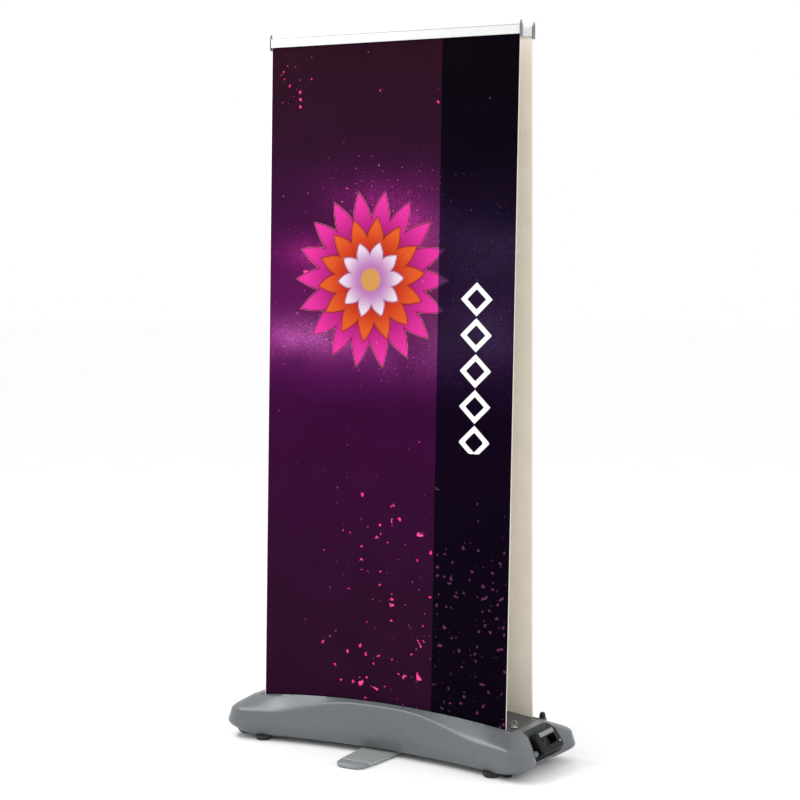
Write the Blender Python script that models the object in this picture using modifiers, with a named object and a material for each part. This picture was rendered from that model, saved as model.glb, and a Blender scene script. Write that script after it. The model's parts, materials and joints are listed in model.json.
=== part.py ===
"""Double-sided outdoor roll-up banner stand: a fillable moulded base with two spring rollers,
a three-stage telescopic pole and two hinged clamp rails. Metres, +Z up, +X along the base,
-Y to the front. The origin is on the ground under the middle of the base."""

import math

import bmesh
import bpy
from mathutils import Matrix, Vector

# Driving dimensions
BANNER_WIDTH = 0.850
BANNER_THICKNESS = 0.0008
RAIL_Z = 2.130  # underside of the clamp rails
BANNER_TOP_Y = 0.0393  # half the spacing of the two banners at the rails
BANNER_FOOT_Y = 0.0869  # and at the base's ends
BANNER_FOOT_Z = 0.130
CLEARANCE = 0.0003

# Base tank: outline rings (half length, half depth at the waist, corner radius, dent in the
# handle end, extra length at the handle end, which grows to the rear)
WAIST_FLARE = 0.28  # the half depth grows by this much times x squared
GROUND_GAP = 0.016
FOOT_RING = (0.492, 0.102, 0.056, 0.010, 0.000)
CREASE_RING = (0.526, 0.1125, 0.060, 0.018, 0.004)
BELLY_RING = (0.533, 0.118, 0.062, 0.022, 0.013)
RIDGE_RING = (0.518, 0.112, 0.054, 0.022, 0.013)
LIP_RING = (0.477, 0.092, 0.024, 0.008, 0.004)
DENT_START = 0.55  # the dent is full over this share of the end's straight part
CREASE_Z = 0.038
BELLY_Z = 0.049
RIDGE_Z_MIDDLE = 0.147
RIDGE_DROP = 0.052
RIDGE_DROP_START = 0.08
RIDGE_DROP_END = 0.38
CROWN_Z = 0.157
CROWN_CURVE = 0.148  # the top falls by this much times x squared
TANK_WALL = 0.004
TANK_FLOOR_Z = 0.021

# Cassette: rollers, tray and cover inside the base's trough
TROUGH_HALF_LENGTH = 0.4475
TROUGH_HALF_DEPTH = 0.0915
TROUGH_Z = 0.035
COVER_HALF_DEPTH = 0.0825
COVER_THICKNESS = 0.0035
TRAY_WALL = 0.0016
TRAY_TOP = 0.116
ROLLER_Y = 0.060
ROLLER_Z = 0.072
ROLLER_RADIUS = 0.0255
ROLLER_HALF_LENGTH = 0.430
TUBE_WALL = 0.002
SHAFT_RADIUS = 0.005
END_PLATE_X = 0.4385
END_PLATE_THICKNESS = 0.004
SPRING_TURNS = 7
SPRING_PITCH = 0.012
SPRING_RADIUS = 0.012
SPRING_WIRE = 0.0011
LOCK_X = 0.432
LOCK_Y = 0.050

# Pole stages: (outer radius, wall, bottom, top)
POLE_LOWER = (0.0160, 0.0015, 0.0425, 0.800)
POLE_MIDDLE = (0.0140, 0.0012, 0.700, 1.420)
POLE_UPPER = (0.0123, 0.0012, 1.320, 2.112)
COLLAR_HEIGHT = 0.046

# Clamp rails
RAIL_HEIGHT = 0.028
RAIL_CAP_THICKNESS = 0.0032
RAIL_CAP_HEIGHT = 0.048

# Feet, wheels, handle, stabiliser
PAD_X = 0.400
PAD_Y = 0.133
PAD_RADIUS = 0.0245
LEVEL_FOOT_X = 0.445
LEVEL_FOOT_Y = 0.115
WHEEL_X = -0.495
WHEEL_Y = 0.100
WHEEL_RADIUS = 0.0265
WHEEL_WIDTH = 0.020
AXLE_RADIUS = 0.004
HANDLE_PIVOT = (0.517, 0.0700)
HANDLE_HALF_WIDTH = 0.071
HANDLE_LEAN = math.radians(32)
HANDLE_LENGTH = 0.0420
HANDLE_DROP = 0.0050  # the lower bar's middle below the pivot
HANDLE_BAR = 0.021
HANDLE_BACK = -0.0085  # the frame's back and front faces, from the pivot
HANDLE_FACE = 0.0175
POCKET_X = 0.468
POCKET_HALF_WIDTH = 0.0765
STABILISER_HALF_LENGTH = 0.283
STABILISER_TOP = 0.0135
STABILISER_THICKNESS = 0.011
CAP_X = 0.440
CAP_Y = 0.120
NECK_TOP = 0.1235

MATERIALS = {
    "grey_plastic": ("#74787b", 0.50, 0.0),
    "dark_plastic": ("#1c1c1d", 0.45, 0.0),
    "rubber": ("#202021", 0.80, 0.0),
    "insert_plastic": ("#80827f", 0.55, 0.0),
    "aluminium": ("#c9ccce", 0.32, 1.0),
    "steel": ("#b4b7ba", 0.28, 1.0),
    "white_coat": ("#f1f2f1", 0.35, 0.0),
    "cap_plastic": ("#6b7078", 0.50, 0.0),
    "stabiliser_coat": ("#8d9490", 0.40, 0.3),
    "banner_film": ("#2a1026", 0.55, 0.0),
}

for leftover in list(bpy.data.objects):
    bpy.data.objects.remove(leftover, do_unlink=True)

STAND = bpy.data.collections.new("roll_up_banner_stand")
CUTTERS = bpy.data.collections.new("cutters")
for group in (STAND, CUTTERS):
    bpy.context.scene.collection.children.link(group)
CUTTERS.hide_render = True


def linear(hex_colour):
    """sRGB hex to the linear colour a shader takes."""
    values = [int(hex_colour[i : i + 2], 16) / 255 for i in (1, 3, 5)]
    return [v / 12.92 if v <= 0.04045 else ((v + 0.055) / 1.055) ** 2.4 for v in values]


def material(part_name, kind):
    """A Principled material for one sub-part, of the given kind."""
    colour, roughness, metallic = MATERIALS[kind]
    made = bpy.data.materials.new(f"{part_name}_{kind}")
    made.use_nodes = True
    shader = made.node_tree.nodes["Principled BSDF"]
    shader.inputs["Base Color"].default_value = (*linear(colour), 1)
    shader.inputs["Roughness"].default_value = roughness
    shader.inputs["Metallic"].default_value = metallic
    return made


def add(name, mesh, kind=None, origin=(0, 0, 0)):
    """Link a mesh given in world coordinates as an object whose origin is at origin."""
    mesh.transform(Matrix.Translation(-Vector(origin)))
    made = bpy.data.objects.new(name, mesh)
    made.location = origin
    if kind is None:
        made.hide_render = True
        made.display_type = "WIRE"
        CUTTERS.objects.link(made)
    else:
        mesh.materials.clear()
        mesh.materials.append(material(name, kind))
        mesh.shade_smooth()
        mesh.set_sharp_from_angle(angle=math.radians(35))
        STAND.objects.link(made)
    return made


def mesh_from(bm, name):
    """Turn a bmesh into a mesh with its faces pointing out."""
    bmesh.ops.recalc_face_normals(bm, faces=bm.faces)
    mesh = bpy.data.meshes.new(name)
    bm.to_mesh(mesh)
    bm.free()
    return mesh


def box(name, low, high, kind=None, origin=(0, 0, 0), bevel=0.0, segments=2):
    """A box between two corners, its edges rounded by bevel."""
    bm = bmesh.new()
    size = [b - a for a, b in zip(low, high)]
    middle = [(a + b) / 2 for a, b in zip(low, high)]
    place = Matrix.Translation(middle) @ Matrix.Diagonal((*size, 1))
    bmesh.ops.create_cube(bm, size=1, matrix=place)
    if bevel:
        bmesh.ops.bevel(
            bm, geom=bm.edges[:], offset=bevel, segments=segments, profile=0.5, affect="EDGES"
        )
    return add(name, mesh_from(bm, name), kind, origin)


def rod(name, start, end, radius, kind=None, origin=(0, 0, 0), sides=24):
    """A cylinder from start to end."""
    start, end = Vector(start), Vector(end)
    along = end - start
    place = Matrix.Translation((start + end) / 2) @ along.to_track_quat("Z", "Y").to_matrix().to_4x4()
    bm = bmesh.new()
    bmesh.ops.create_cone(
        bm, cap_ends=True, segments=sides, radius1=radius, radius2=radius,
        depth=along.length, matrix=place,
    )
    return add(name, mesh_from(bm, name), kind, origin)


TURN_AXES = {"Z": (0, 0, 0), "X": (0, math.pi / 2, 0), "Y": (-math.pi / 2, 0, 0)}


def turned(name, profile, origin, kind=None, axis="Z", steps=24, closed=False):
    """A Screw modifier on a profile of (radius, height) points, top to bottom on the outside."""
    mesh = bpy.data.meshes.new(name)
    points = [(radius, 0, height) for radius, height in profile]
    edges = [(i, i + 1) for i in range(len(points) - 1)]
    if closed:
        edges.append((len(points) - 1, 0))
    mesh.from_pydata(points, edges, [])
    made = add(name, mesh, kind)
    made.location = origin
    made.rotation_euler = TURN_AXES[axis]
    screw = made.modifiers.new("turn", "SCREW")
    screw.steps = steps
    screw.render_steps = steps
    screw.use_merge_vertices = True
    screw.merge_threshold = 0.00001
    screw.use_smooth_shade = True
    return made


def outline_solid(name, loops, plane, start, end, kind=None, origin=(0, 0, 0), bevel=0.0):
    """A flat outline with its holes, drawn in the YZ, XZ or XY plane and extruded across it."""
    curve = bpy.data.curves.new(name, "CURVE")
    curve.dimensions = "2D"
    curve.fill_mode = "BOTH"
    curve.extrude = abs(end - start) / 2
    for loop in loops:
        spline = curve.splines.new("POLY")
        spline.points.add(len(loop) - 1)
        for point, (u, v) in zip(spline.points, loop):
            point.co = (u, v, 0, 1)
        spline.use_cyclic_u = True
    guide = bpy.data.objects.new(name + "_outline", curve)
    bpy.context.scene.collection.objects.link(guide)
    bpy.context.view_layer.update()
    mesh = bpy.data.meshes.new_from_object(guide.evaluated_get(bpy.context.evaluated_depsgraph_get()))
    bpy.data.objects.remove(guide, do_unlink=True)
    middle = (start + end) / 2
    places = {
        "YZ": Matrix(((0, 0, 1, middle), (1, 0, 0, 0), (0, 1, 0, 0), (0, 0, 0, 1))),
        "XZ": Matrix(((1, 0, 0, 0), (0, 0, -1, middle), (0, 1, 0, 0), (0, 0, 0, 1))),
        "XY": Matrix.Translation((0, 0, middle)),
    }
    mesh.transform(places[plane])
    bm = bmesh.new()
    bm.from_mesh(mesh)
    bmesh.ops.remove_doubles(bm, verts=bm.verts, dist=0.00001)
    if bevel:
        rims = [e for e in bm.edges if len(e.link_faces) == 2 and e.calc_face_angle() > 0.9]
        bmesh.ops.bevel(bm, geom=rims, offset=bevel, segments=2, profile=0.5, affect="EDGES")
    return add(name, mesh_from(bm, name), kind, origin)


def boolean(target, other, operation="DIFFERENCE"):
    """Cut target with another object, or join them."""
    modifier = target.modifiers.new(other.name, "BOOLEAN")
    modifier.operation = operation
    modifier.solver = "EXACT"
    modifier.object = other


def arc(centre, radius, start, end, steps):
    """Points along an arc, angles in degrees."""
    turn = [math.radians(start + (end - start) * i / steps) for i in range(steps + 1)]
    return [(centre[0] + radius * math.cos(a), centre[1] + radius * math.sin(a)) for a in turn]


def mirrored(points):
    """The outline mirrored in its first coordinate."""
    return [(-u, v) for u, v in reversed(points)]


def crown(x):
    """Height of the base's top surface at x."""
    return CROWN_Z - CROWN_CURVE * x * x


def smooth_step(start, end, value):
    share = min(max((value - start) / (end - start), 0), 1)
    return share * share * (3 - 2 * share)


def ridge(x):
    """Height of the rounded edge between the base's top and its front and rear faces."""
    return RIDGE_Z_MIDDLE - RIDGE_DROP * smooth_step(RIDGE_DROP_START, RIDGE_DROP_END, abs(x))


def half_outline(half_length, waist, radius, dent, flare, sides, corner, end):
    """The front side, the right end and its two round corners, the end dented by dent."""
    straight = half_length - radius
    depth = waist + flare * straight * straight

    def side(x):
        return waist + flare * x * x

    half = []
    for i in range(sides + 1):
        x = -straight + 2 * straight * i / sides
        half.append((x, -side(x)))
    half += arc((straight, radius - depth), radius, -90, 0, corner)[1:]
    for i in range(1, end):
        share = 2 * i / end - 1
        bend = 1 - smooth_step(DENT_START, 1.0, abs(share))
        half.append((half_length - dent * bend, (depth - radius) * share))
    half += arc((straight, depth - radius), radius, 0, 90, corner)[:-1]
    return half


def base_outline(half_length, waist, radius, dent, extra, flare=WAIST_FLARE, sides=18, corner=6,
                 end=16):
    """The waisted outline, dented at the handle end only, anticlockwise from the front left."""
    right = half_outline(half_length, waist, radius, dent, flare, sides, corner, end)
    left = half_outline(half_length, waist, radius, 0.0, flare, sides, corner, end)
    right = [(x + extra * smooth_step(0.40, 0.50, x) * smooth_step(-0.20, 0.12, y), y)
             for x, y in right]
    return right + [(-x, -y) for x, y in left]


def ring(outline, height):
    return [Vector((x, y, height(x) if callable(height) else height)) for x, y in outline]


def between(first, second, share):
    return [a.lerp(b, share) for a, b in zip(first, second)]


def rounded(first, corner, last, near, far, steps):
    """Rings that round the corner ring, between two shares of the way to its neighbours."""
    start = between(corner, first, near)
    stop = between(corner, last, far)
    rings = []
    for i in range(steps + 1):
        share = i / steps
        rings.append(between(between(start, corner, share), between(corner, stop, share), share))
    return rings


def lofted(name, rings, kind=None):
    """A closed solid through rings of equal point counts, with a face on each end."""
    bm = bmesh.new()
    rows = [[bm.verts.new(point) for point in points] for points in rings]
    count = len(rows[0])
    for lower, upper in zip(rows, rows[1:]):
        for i in range(count):
            j = (i + 1) % count
            bm.faces.new((lower[i], lower[j], upper[j], upper[i]))
    bm.faces.new(list(reversed(rows[0])))
    bm.faces.new(rows[-1])
    bmesh.ops.triangulate(bm, faces=[f for f in bm.faces if len(f.verts) > 4])
    return add(name, mesh_from(bm, name), kind)


def tank_rings(shrink, floor, drop, coarse):
    """The tank's rings from its floor to its lip, moved in by shrink and down by drop."""
    detail = {"sides": 12, "corner": 4, "end": 8} if coarse else {}

    def outline(size, flare=WAIST_FLARE):
        length, waist, radius, dent, extra = size
        return base_outline(length - shrink, waist - shrink, radius - shrink * 0.5, dent, extra,
                            flare, **detail)

    foot = ring(outline(FOOT_RING), floor)
    floor_middle = [Vector((p.x * 0.90, p.y * 0.85, floor)) for p in foot]
    crease = ring(outline(CREASE_RING), CREASE_Z)
    belly = ring(outline(BELLY_RING), BELLY_Z)
    edge = ring(outline(RIDGE_RING), lambda x: ridge(x) - drop)
    lip = ring(outline(LIP_RING, 0.0), lambda x: crown(x) - drop)
    if coarse:
        return [floor_middle, foot, crease, belly, edge, lip]
    rings = [floor_middle]
    rings += rounded(floor_middle, foot, crease, 0.35, 0.25, 3)
    rings += rounded(foot, crease, belly, 0.15, 0.3, 2)
    rings += rounded(crease, belly, edge, 0.5, 0.18, 3)
    rings.append(between(belly, edge, 0.55))
    rings += rounded(belly, edge, lip, 0.22, 0.42, 5)
    rings.append(lip)
    return rings


def build_tank():
    """The moulded tank: hollow, with the cassette trough, handle pocket, wheel wells and neck."""
    tank = lofted("base_tank", tank_rings(0.0, GROUND_GAP, 0.0, False), "grey_plastic")
    neck = rod("filler_neck", (CAP_X, CAP_Y, 0.095), (CAP_X, CAP_Y, NECK_TOP), 0.0125)
    boolean(tank, neck, "UNION")

    cavity = lofted("tank_cavity", tank_rings(TANK_WALL, TANK_FLOOR_Z, TANK_WALL, True))
    far = 0.7
    jackets = [
        box("trough_jacket", (-0.4535, -0.0975, 0.031), (0.4535, 0.0975, far)),
        box("handle_jacket", (0.450, -0.107, -0.1), (far, 0.107, far)),
        box("front_boss_jacket", (0.433, -0.131, -0.1), (0.457, -0.096, 0.055)),
        box("rear_boss_jacket", (0.433, 0.096, -0.1), (0.457, 0.131, 0.055)),
        rod("pivot_jacket", (0, 0, -0.1), (0, 0, 0.1), 0.014),
    ]
    for side, name in ((-1, "front"), (1, "rear")):
        inner = side * (WHEEL_Y - WHEEL_WIDTH / 2 - 0.007)
        outer = side * (WHEEL_Y + WHEEL_WIDTH / 2 + 0.007)
        low, high = min(inner, outer), max(inner, outer)
        jackets.append(box(f"{name}_wheel_jacket", (-far, low, -0.1), (-0.465, high, 0.064)))
    jackets.append(box("axle_jacket", (WHEEL_X - 0.009, -0.11, -0.1), (WHEEL_X + 0.009, 0.11, 0.037)))
    for jacket in jackets:
        boolean(cavity, jacket)
    boolean(tank, cavity)

    boolean(tank, box(
        "trough", (-TROUGH_HALF_LENGTH, -TROUGH_HALF_DEPTH, TROUGH_Z),
        (TROUGH_HALF_LENGTH, TROUGH_HALF_DEPTH, far),
    ))
    pocket = box("handle_pocket", (POCKET_X, -POCKET_HALF_WIDTH, 0.040),
                 (far, POCKET_HALF_WIDTH, far), bevel=0.012, segments=3)
    boolean(tank, pocket)
    for side, name in ((-1, "front"), (1, "rear")):
        low = side * WHEEL_Y - WHEEL_WIDTH / 2 - 0.0025
        high = side * WHEEL_Y + WHEEL_WIDTH / 2 + 0.0025
        well = box(f"{name}_wheel_well", (WHEEL_X - 0.0315, low, -0.1), (WHEEL_X + 0.0315, high, 0.058))
        boolean(tank, well)
        stud = rod(f"{name}_stud_hole", (LEVEL_FOOT_X, side * LEVEL_FOOT_Y, -0.1),
                   (LEVEL_FOOT_X, side * LEVEL_FOOT_Y, 0.050), 0.0045, sides=16)
        boolean(tank, stud)
    boolean(tank, rod("axle_hole", (WHEEL_X, -0.1195, WHEEL_RADIUS), (WHEEL_X, 0.1195, WHEEL_RADIUS),
                      AXLE_RADIUS + CLEARANCE, sides=16))
    boolean(tank, rod("filler_hole", (CAP_X, CAP_Y, 0.080), (CAP_X, CAP_Y, 0.2), 0.0062, sides=20))
    boolean(tank, rod("pivot_hole", (0, 0, -0.1), (0, 0, 0.0295), 0.0063, sides=20))


def build_feet():
    """Rubber pads, and two levelling feet at the handle end that screw in and out."""
    for side_x, left_right in ((-1, "left"), (1, "right")):
        for side_y, front_rear in ((-1, "front"), (1, "rear")):
            top = GROUND_GAP - CLEARANCE
            turned(
                f"foot_pad_{front_rear}_{left_right}",
                [(0, top), (PAD_RADIUS, top), (PAD_RADIUS, 0.009), (PAD_RADIUS - 0.003, 0.0012),
                 (PAD_RADIUS - 0.0045, 0), (0, 0)],
                (side_x * PAD_X, side_y * PAD_Y, 0), "rubber",
            )
    for side, name in ((-1, "front"), (1, "rear")):
        turned(
            f"levelling_foot_{name}",
            [(0, 0.044), (0.0041, 0.044), (0.0041, 0.0150), (0.0118, 0.0150), (0.0125, 0.0142),
             (0.0125, 0.0020), (0.0117, 0.0008), (0, 0.0008)],
            (LEVEL_FOOT_X, side * LEVEL_FOOT_Y, 0), "rubber", steps=20,
        )


def build_wheels():
    """Two transport wheels on one axle at the end opposite the handle."""
    half = WHEEL_WIDTH / 2
    hub = AXLE_RADIUS + CLEARANCE
    for side, name in ((-1, "front"), (1, "rear")):
        turned(
            f"wheel_{name}",
            [(hub, half), (0.009, half), (0.010, half - 0.003), (0.020, half - 0.003),
             (0.0215, half), (WHEEL_RADIUS - 0.003, half), (WHEEL_RADIUS, half - 0.003),
             (WHEEL_RADIUS, 0.003 - half), (WHEEL_RADIUS - 0.003, -half), (0.0215, -half),
             (0.020, 0.003 - half), (0.010, 0.003 - half), (0.009, -half), (hub, -half)],
            (WHEEL_X, side * WHEEL_Y, WHEEL_RADIUS), "dark_plastic", axis="Y", closed=True,
        )
    rod("wheel_axle", (WHEEL_X, -0.1190, WHEEL_RADIUS), (WHEEL_X, 0.1190, WHEEL_RADIUS),
        AXLE_RADIUS, "steel", sides=20)


def handle_loop(half_width, length, radius):
    """An outline in the handle's own plane: across, and up from the pivot."""
    top = length + HANDLE_BAR / 2
    bottom = -HANDLE_DROP - HANDLE_BAR / 2
    points = arc((half_width - radius, top - radius), radius, 0, 90, 6)
    points += arc((radius - half_width, top - radius), radius, 90, 180, 6)
    points += arc((radius * 0.6 - half_width, bottom + radius * 0.6), radius * 0.6, 180, 270, 4)
    points += arc((half_width - radius * 0.6, bottom + radius * 0.6), radius * 0.6, 270, 360, 4)
    return points


def handle_window(half_width, low, high, radius):
    points = arc((half_width - radius, high - radius), radius, 0, 90, 4)
    points += arc((radius - half_width, high - radius), radius, 90, 180, 4)
    points += arc((radius - half_width, low + radius), radius, 180, 270, 4)
    points += arc((half_width - radius, low + radius), radius, 270, 360, 4)
    return points


def lean_handle(made):
    """Stand a handle piece drawn upright at the pivot in its leaning rest pose."""
    made.rotation_euler = (0, -HANDLE_LEAN, 0)


def build_handle():
    """The carry handle in its pocket, turning about a pin low in the base's end."""
    pivot = (HANDLE_PIVOT[0], 0, HANDLE_PIVOT[1])
    inner = HANDLE_HALF_WIDTH - 0.029
    outer_loop = handle_loop(HANDLE_HALF_WIDTH, HANDLE_LENGTH, 0.022)
    window = handle_window(inner, HANDLE_BAR / 2 - HANDLE_DROP, HANDLE_LENGTH - HANDLE_BAR / 2, 0.009)
    handle = outline_solid("carry_handle", [outer_loop, window], "YZ", HANDLE_BACK,
                           HANDLE_FACE, "dark_plastic", bevel=0.0040)
    handle.location = pivot
    lean_handle(handle)
    pin_hole = rod("handle_pin_hole", (0, -0.1, 0), (0, 0.1, 0), 0.0036, sides=16)
    pin_hole.location = pivot
    boolean(handle, pin_hole)
    face = HANDLE_FACE + CLEARANCE
    grip = box("handle_grip_insert", (face, -0.0440, HANDLE_LENGTH - 0.0070),
               (face + 0.0022, 0.0440, HANDLE_LENGTH + 0.0060), "insert_plastic", bevel=0.0008)
    grip.location = pivot
    lean_handle(grip)
    rod("handle_pivot_pin", (HANDLE_PIVOT[0], -0.1000, HANDLE_PIVOT[1]),
        (HANDLE_PIVOT[0], 0.1000, HANDLE_PIVOT[1]), 0.0033, "steel", sides=16)
    tank = bpy.data.objects["base_tank"]
    boolean(tank, rod("handle_pin_bore", (HANDLE_PIVOT[0], -0.1005, HANDLE_PIVOT[1]),
                      (HANDLE_PIVOT[0], 0.1005, HANDLE_PIVOT[1]), 0.0036, sides=16))


def stabiliser_side(stop, steps=5):
    """The bar's tapering edge in plan, from the middle to stop along +Y."""
    reach = [stop * i / steps for i in range(steps + 1)]
    return [(0.064 - 0.066 * max(y - 0.02, 0), y) for y in reach]


def build_stabiliser():
    """The swing-out bar under the base, its two nose caps, washer and pivot bolt."""
    bottom = STABILISER_TOP - STABILISER_THICKNESS
    seam = STABILISER_HALF_LENGTH - 0.046
    side = stabiliser_side(seam)
    half = side[1:] + mirrored(side)[:-1]
    bar = outline_solid("stabiliser_bar", [half + [(-u, -v) for u, v in half]], "XY", bottom, STABILISER_TOP,
                        "stabiliser_coat", bevel=0.0018)
    boolean(bar, rod("bar_pivot_hole", (0, 0, -0.1), (0, 0, 0.1), 0.0066, sides=20))
    boolean(bar, rod("bolt_head_recess", (0, 0, -0.1), (0, 0, bottom + 0.0050), 0.0125, sides=24))
    for sign, name in ((-1, "front"), (1, "rear")):
        width = side[-1][0]
        start = seam + CLEARANCE
        radius = 0.026
        nose = [(width + 0.0005, start), (width - 0.003, STABILISER_HALF_LENGTH - radius)]
        nose += arc((width - 0.003 - radius, STABILISER_HALF_LENGTH - radius), radius, 0, 90, 6)[1:]
        nose += mirrored(nose)
        nose = [(u * sign, v * sign) for u, v in nose]
        outline_solid(f"stabiliser_nose_{name}", [nose], "XY", bottom - 0.0012,
                      STABILISER_TOP + 0.0004, "cap_plastic", bevel=0.0035)
    turned("stabiliser_washer",
           [(0.0110, 0.0155), (0.0110, 0.0140), (0.0068, 0.0140), (0.0068, 0.0155)],
           (0, 0, 0), "steel", closed=True)
    turned("stabiliser_pivot_bolt",
           [(0, 0.0285), (0.0060, 0.0285), (0.0060, 0.0070), (0.0110, 0.0070),
            (0.0118, 0.0060), (0.0118, 0.0035), (0.0105, 0.0028), (0, 0.0028)],
           (0, 0, 0), "steel")


def build_filler():
    """The domed filler cap and the ring that seals it on the neck."""
    seat = NECK_TOP + 0.0022
    turned("fill_cap",
           [(0, seat + 0.0160), (0.0030, seat + 0.0156), (0.0062, seat + 0.0138),
            (0.0083, seat + 0.0108), (0.0090, seat + 0.0075), (0.0090, seat + 0.0022),
            (0.0104, seat + 0.0015), (0.0104, seat), (0.0056, seat), (0.0056, 0.1020),
            (0, 0.1020)],
           (CAP_X, CAP_Y, 0), "dark_plastic")
    turned("fill_cap_seal",
           [(radius + 0.0083, height + NECK_TOP + 0.0012)
            for radius, height in arc((0, 0), 0.0009, 60, -300, 8)[:-1]],
           (CAP_X, CAP_Y, 0), "rubber", closed=True)


def build_tray():
    """The aluminium tray in the trough, with a plate at each end that carries the shafts."""
    outer = TROUGH_HALF_DEPTH - CLEARANCE
    floor = TROUGH_Z + 0.0005
    inner = outer - TRAY_WALL
    channel = [(-outer, floor), (outer, floor), (outer, TRAY_TOP), (inner, TRAY_TOP),
               (inner, floor + TRAY_WALL), (-inner, floor + TRAY_WALL), (-inner, TRAY_TOP),
               (-outer, TRAY_TOP)]
    outline_solid("cassette_tray", [channel], "YZ", -0.4440, 0.4440, "aluminium")
    half = inner - CLEARANCE
    plate_floor = floor + TRAY_WALL + CLEARANCE
    for side, name in ((-1, "left"), (1, "right")):
        near = side * END_PLATE_X
        far = side * (END_PLATE_X + END_PLATE_THICKNESS)
        plate = box(f"cassette_end_plate_{name}", (min(near, far), -half, plate_floor),
                    (max(near, far), half, TRAY_TOP), "steel")
        for roller_side in (-1, 1):
            y = roller_side * ROLLER_Y
            boolean(plate, rod(f"shaft_hole_{name}_{roller_side}", (side * 0.43, y, ROLLER_Z),
                               (side * 0.46, y, ROLLER_Z), SHAFT_RADIUS + CLEARANCE, sides=20))


def build_cover():
    """The crowned cover between the two banner slots, with holes for the pole and its locks."""
    half = TROUGH_HALF_LENGTH - 0.0010
    steps = 24
    upper = [(half - 2 * half * i / steps, crown(half - 2 * half * i / steps)) for i in range(steps + 1)]
    lower = [(x, z - COVER_THICKNESS) for x, z in reversed(upper)]
    cover = outline_solid("top_cover", [upper + lower], "XZ", -COVER_HALF_DEPTH, COVER_HALF_DEPTH,
                          "grey_plastic")
    boolean(cover, rod("pole_opening", (0, 0, 0.1), (0, 0, 0.2), 0.0215, sides=32))
    for side in (-1, 1):
        boolean(cover, rod(f"lock_hole_{side}", (side * LOCK_X, -LOCK_Y, 0.1),
                           (side * LOCK_X, -LOCK_Y, 0.2), 0.0042, sides=16))


def build_locks():
    """A quarter-turn stud through each end of the cover, with a ring that folds flat."""
    for side, name in ((-1, "left"), (1, "right")):
        x = side * LOCK_X
        top = crown(LOCK_X - 0.011) + CLEARANCE
        under = crown(LOCK_X + 0.011) - COVER_THICKNESS
        stud = turned(
            f"cover_lock_stud_{name}",
            [(0, top + 0.0062), (0.0040, top + 0.0062), (0.0046, top + 0.0056),
             (0.0046, top + 0.0024), (0.0110, top + 0.0020), (0.0110, top), (0.0038, top),
             (0.0038, under - 0.0110), (0, under - 0.0110)],
            (x, -LOCK_Y, 0), "steel",
        )
        pivot_z = top + 0.0043
        boolean(stud, rod(f"ring_hole_{name}", (x - 0.02, -LOCK_Y, pivot_z),
                          (x + 0.02, -LOCK_Y, pivot_z), 0.0013, sides=12))
        wire = bpy.data.curves.new(f"cover_lock_ring_{name}", "CURVE")
        wire.dimensions = "3D"
        wire.bevel_depth = 0.0010
        wire.bevel_resolution = 2
        wire.use_fill_caps = True
        arch = arc((0, 0.0075), 0.0085, -20, 200, 12)
        route = [(0.0050, 0), (0.0075, 0.0006)] + arch + [(-0.0075, 0.0006), (-0.0050, 0)]
        # The legs' tips enter the stud's cross hole from both sides without meeting.
        route = [(0.0012, 0)] + route + [(-0.0012, 0)]
        spline = wire.splines.new("POLY")
        spline.points.add(len(route) - 1)
        for point, (u, v) in zip(spline.points, route):
            point.co = (u, 0, v, 1)
        ring_object = bpy.data.objects.new(f"cover_lock_ring_{name}", wire)
        ring_object.location = (x, -LOCK_Y, pivot_z)
        wire.materials.append(material(f"cover_lock_ring_{name}", "steel"))
        STAND.objects.link(ring_object)


def build_rollers():
    """Each roller: a tube on two plugs, a fixed shaft, and the spring that winds the banner."""
    for side, name in ((-1, "front"), (1, "rear")):
        y = side * ROLLER_Y
        centre = (0, y, ROLLER_Z)
        bore = ROLLER_RADIUS - TUBE_WALL
        half = ROLLER_HALF_LENGTH
        turned(f"roller_tube_{name}",
               [(ROLLER_RADIUS, half), (ROLLER_RADIUS, -half), (bore, -half), (bore, half)],
               centre, "aluminium", axis="X", steps=32, closed=True)
        rod(f"roller_shaft_{name}", (-0.4420, y, ROLLER_Z), (0.4420, y, ROLLER_Z),
            SHAFT_RADIUS, "steel", sides=20)
        hub = SHAFT_RADIUS + CLEARANCE
        for end, left_right in ((-1, "left"), (1, "right")):
            start = half - 0.016
            flange = half + CLEARANCE
            profile = [(hub, flange + 0.0030), (ROLLER_RADIUS + 0.0010, flange + 0.0030),
                       (ROLLER_RADIUS + 0.0010, flange), (bore - CLEARANCE, flange),
                       (bore - CLEARANCE, start), (hub, start)]
            if end < 0:
                profile = [(radius, -height) for radius, height in reversed(profile)]
            turned(f"roller_plug_{name}_{left_right}", profile, centre, "dark_plastic",
                   axis="X", closed=True)
        build_spring(name, y)


def build_spring(name, y):
    """The torsion spring round the shaft, near the roller's left end."""
    wire = bpy.data.curves.new(f"roller_spring_{name}", "CURVE")
    wire.dimensions = "3D"
    wire.bevel_depth = SPRING_WIRE
    wire.bevel_resolution = 1
    wire.use_fill_caps = True
    spline = wire.splines.new("POLY")
    steps = 8
    count = SPRING_TURNS * steps
    spline.points.add(count)
    for i, point in enumerate(spline.points):
        angle = 2 * math.pi * i / steps
        point.co = (SPRING_PITCH * i / steps, SPRING_RADIUS * math.cos(angle),
                    SPRING_RADIUS * math.sin(angle), 1)
    coil = bpy.data.objects.new(f"roller_spring_{name}", wire)
    coil.location = (-0.395, y, ROLLER_Z)
    wire.materials.append(material(f"roller_spring_{name}", "steel"))
    STAND.objects.link(coil)


def tube(name, stage, kind):
    radius, wall, low, high = stage
    return turned(name, [(radius, high), (radius, low), (radius - wall, low), (radius - wall, high)],
                  (0, 0, 0), kind, closed=True)


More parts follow.
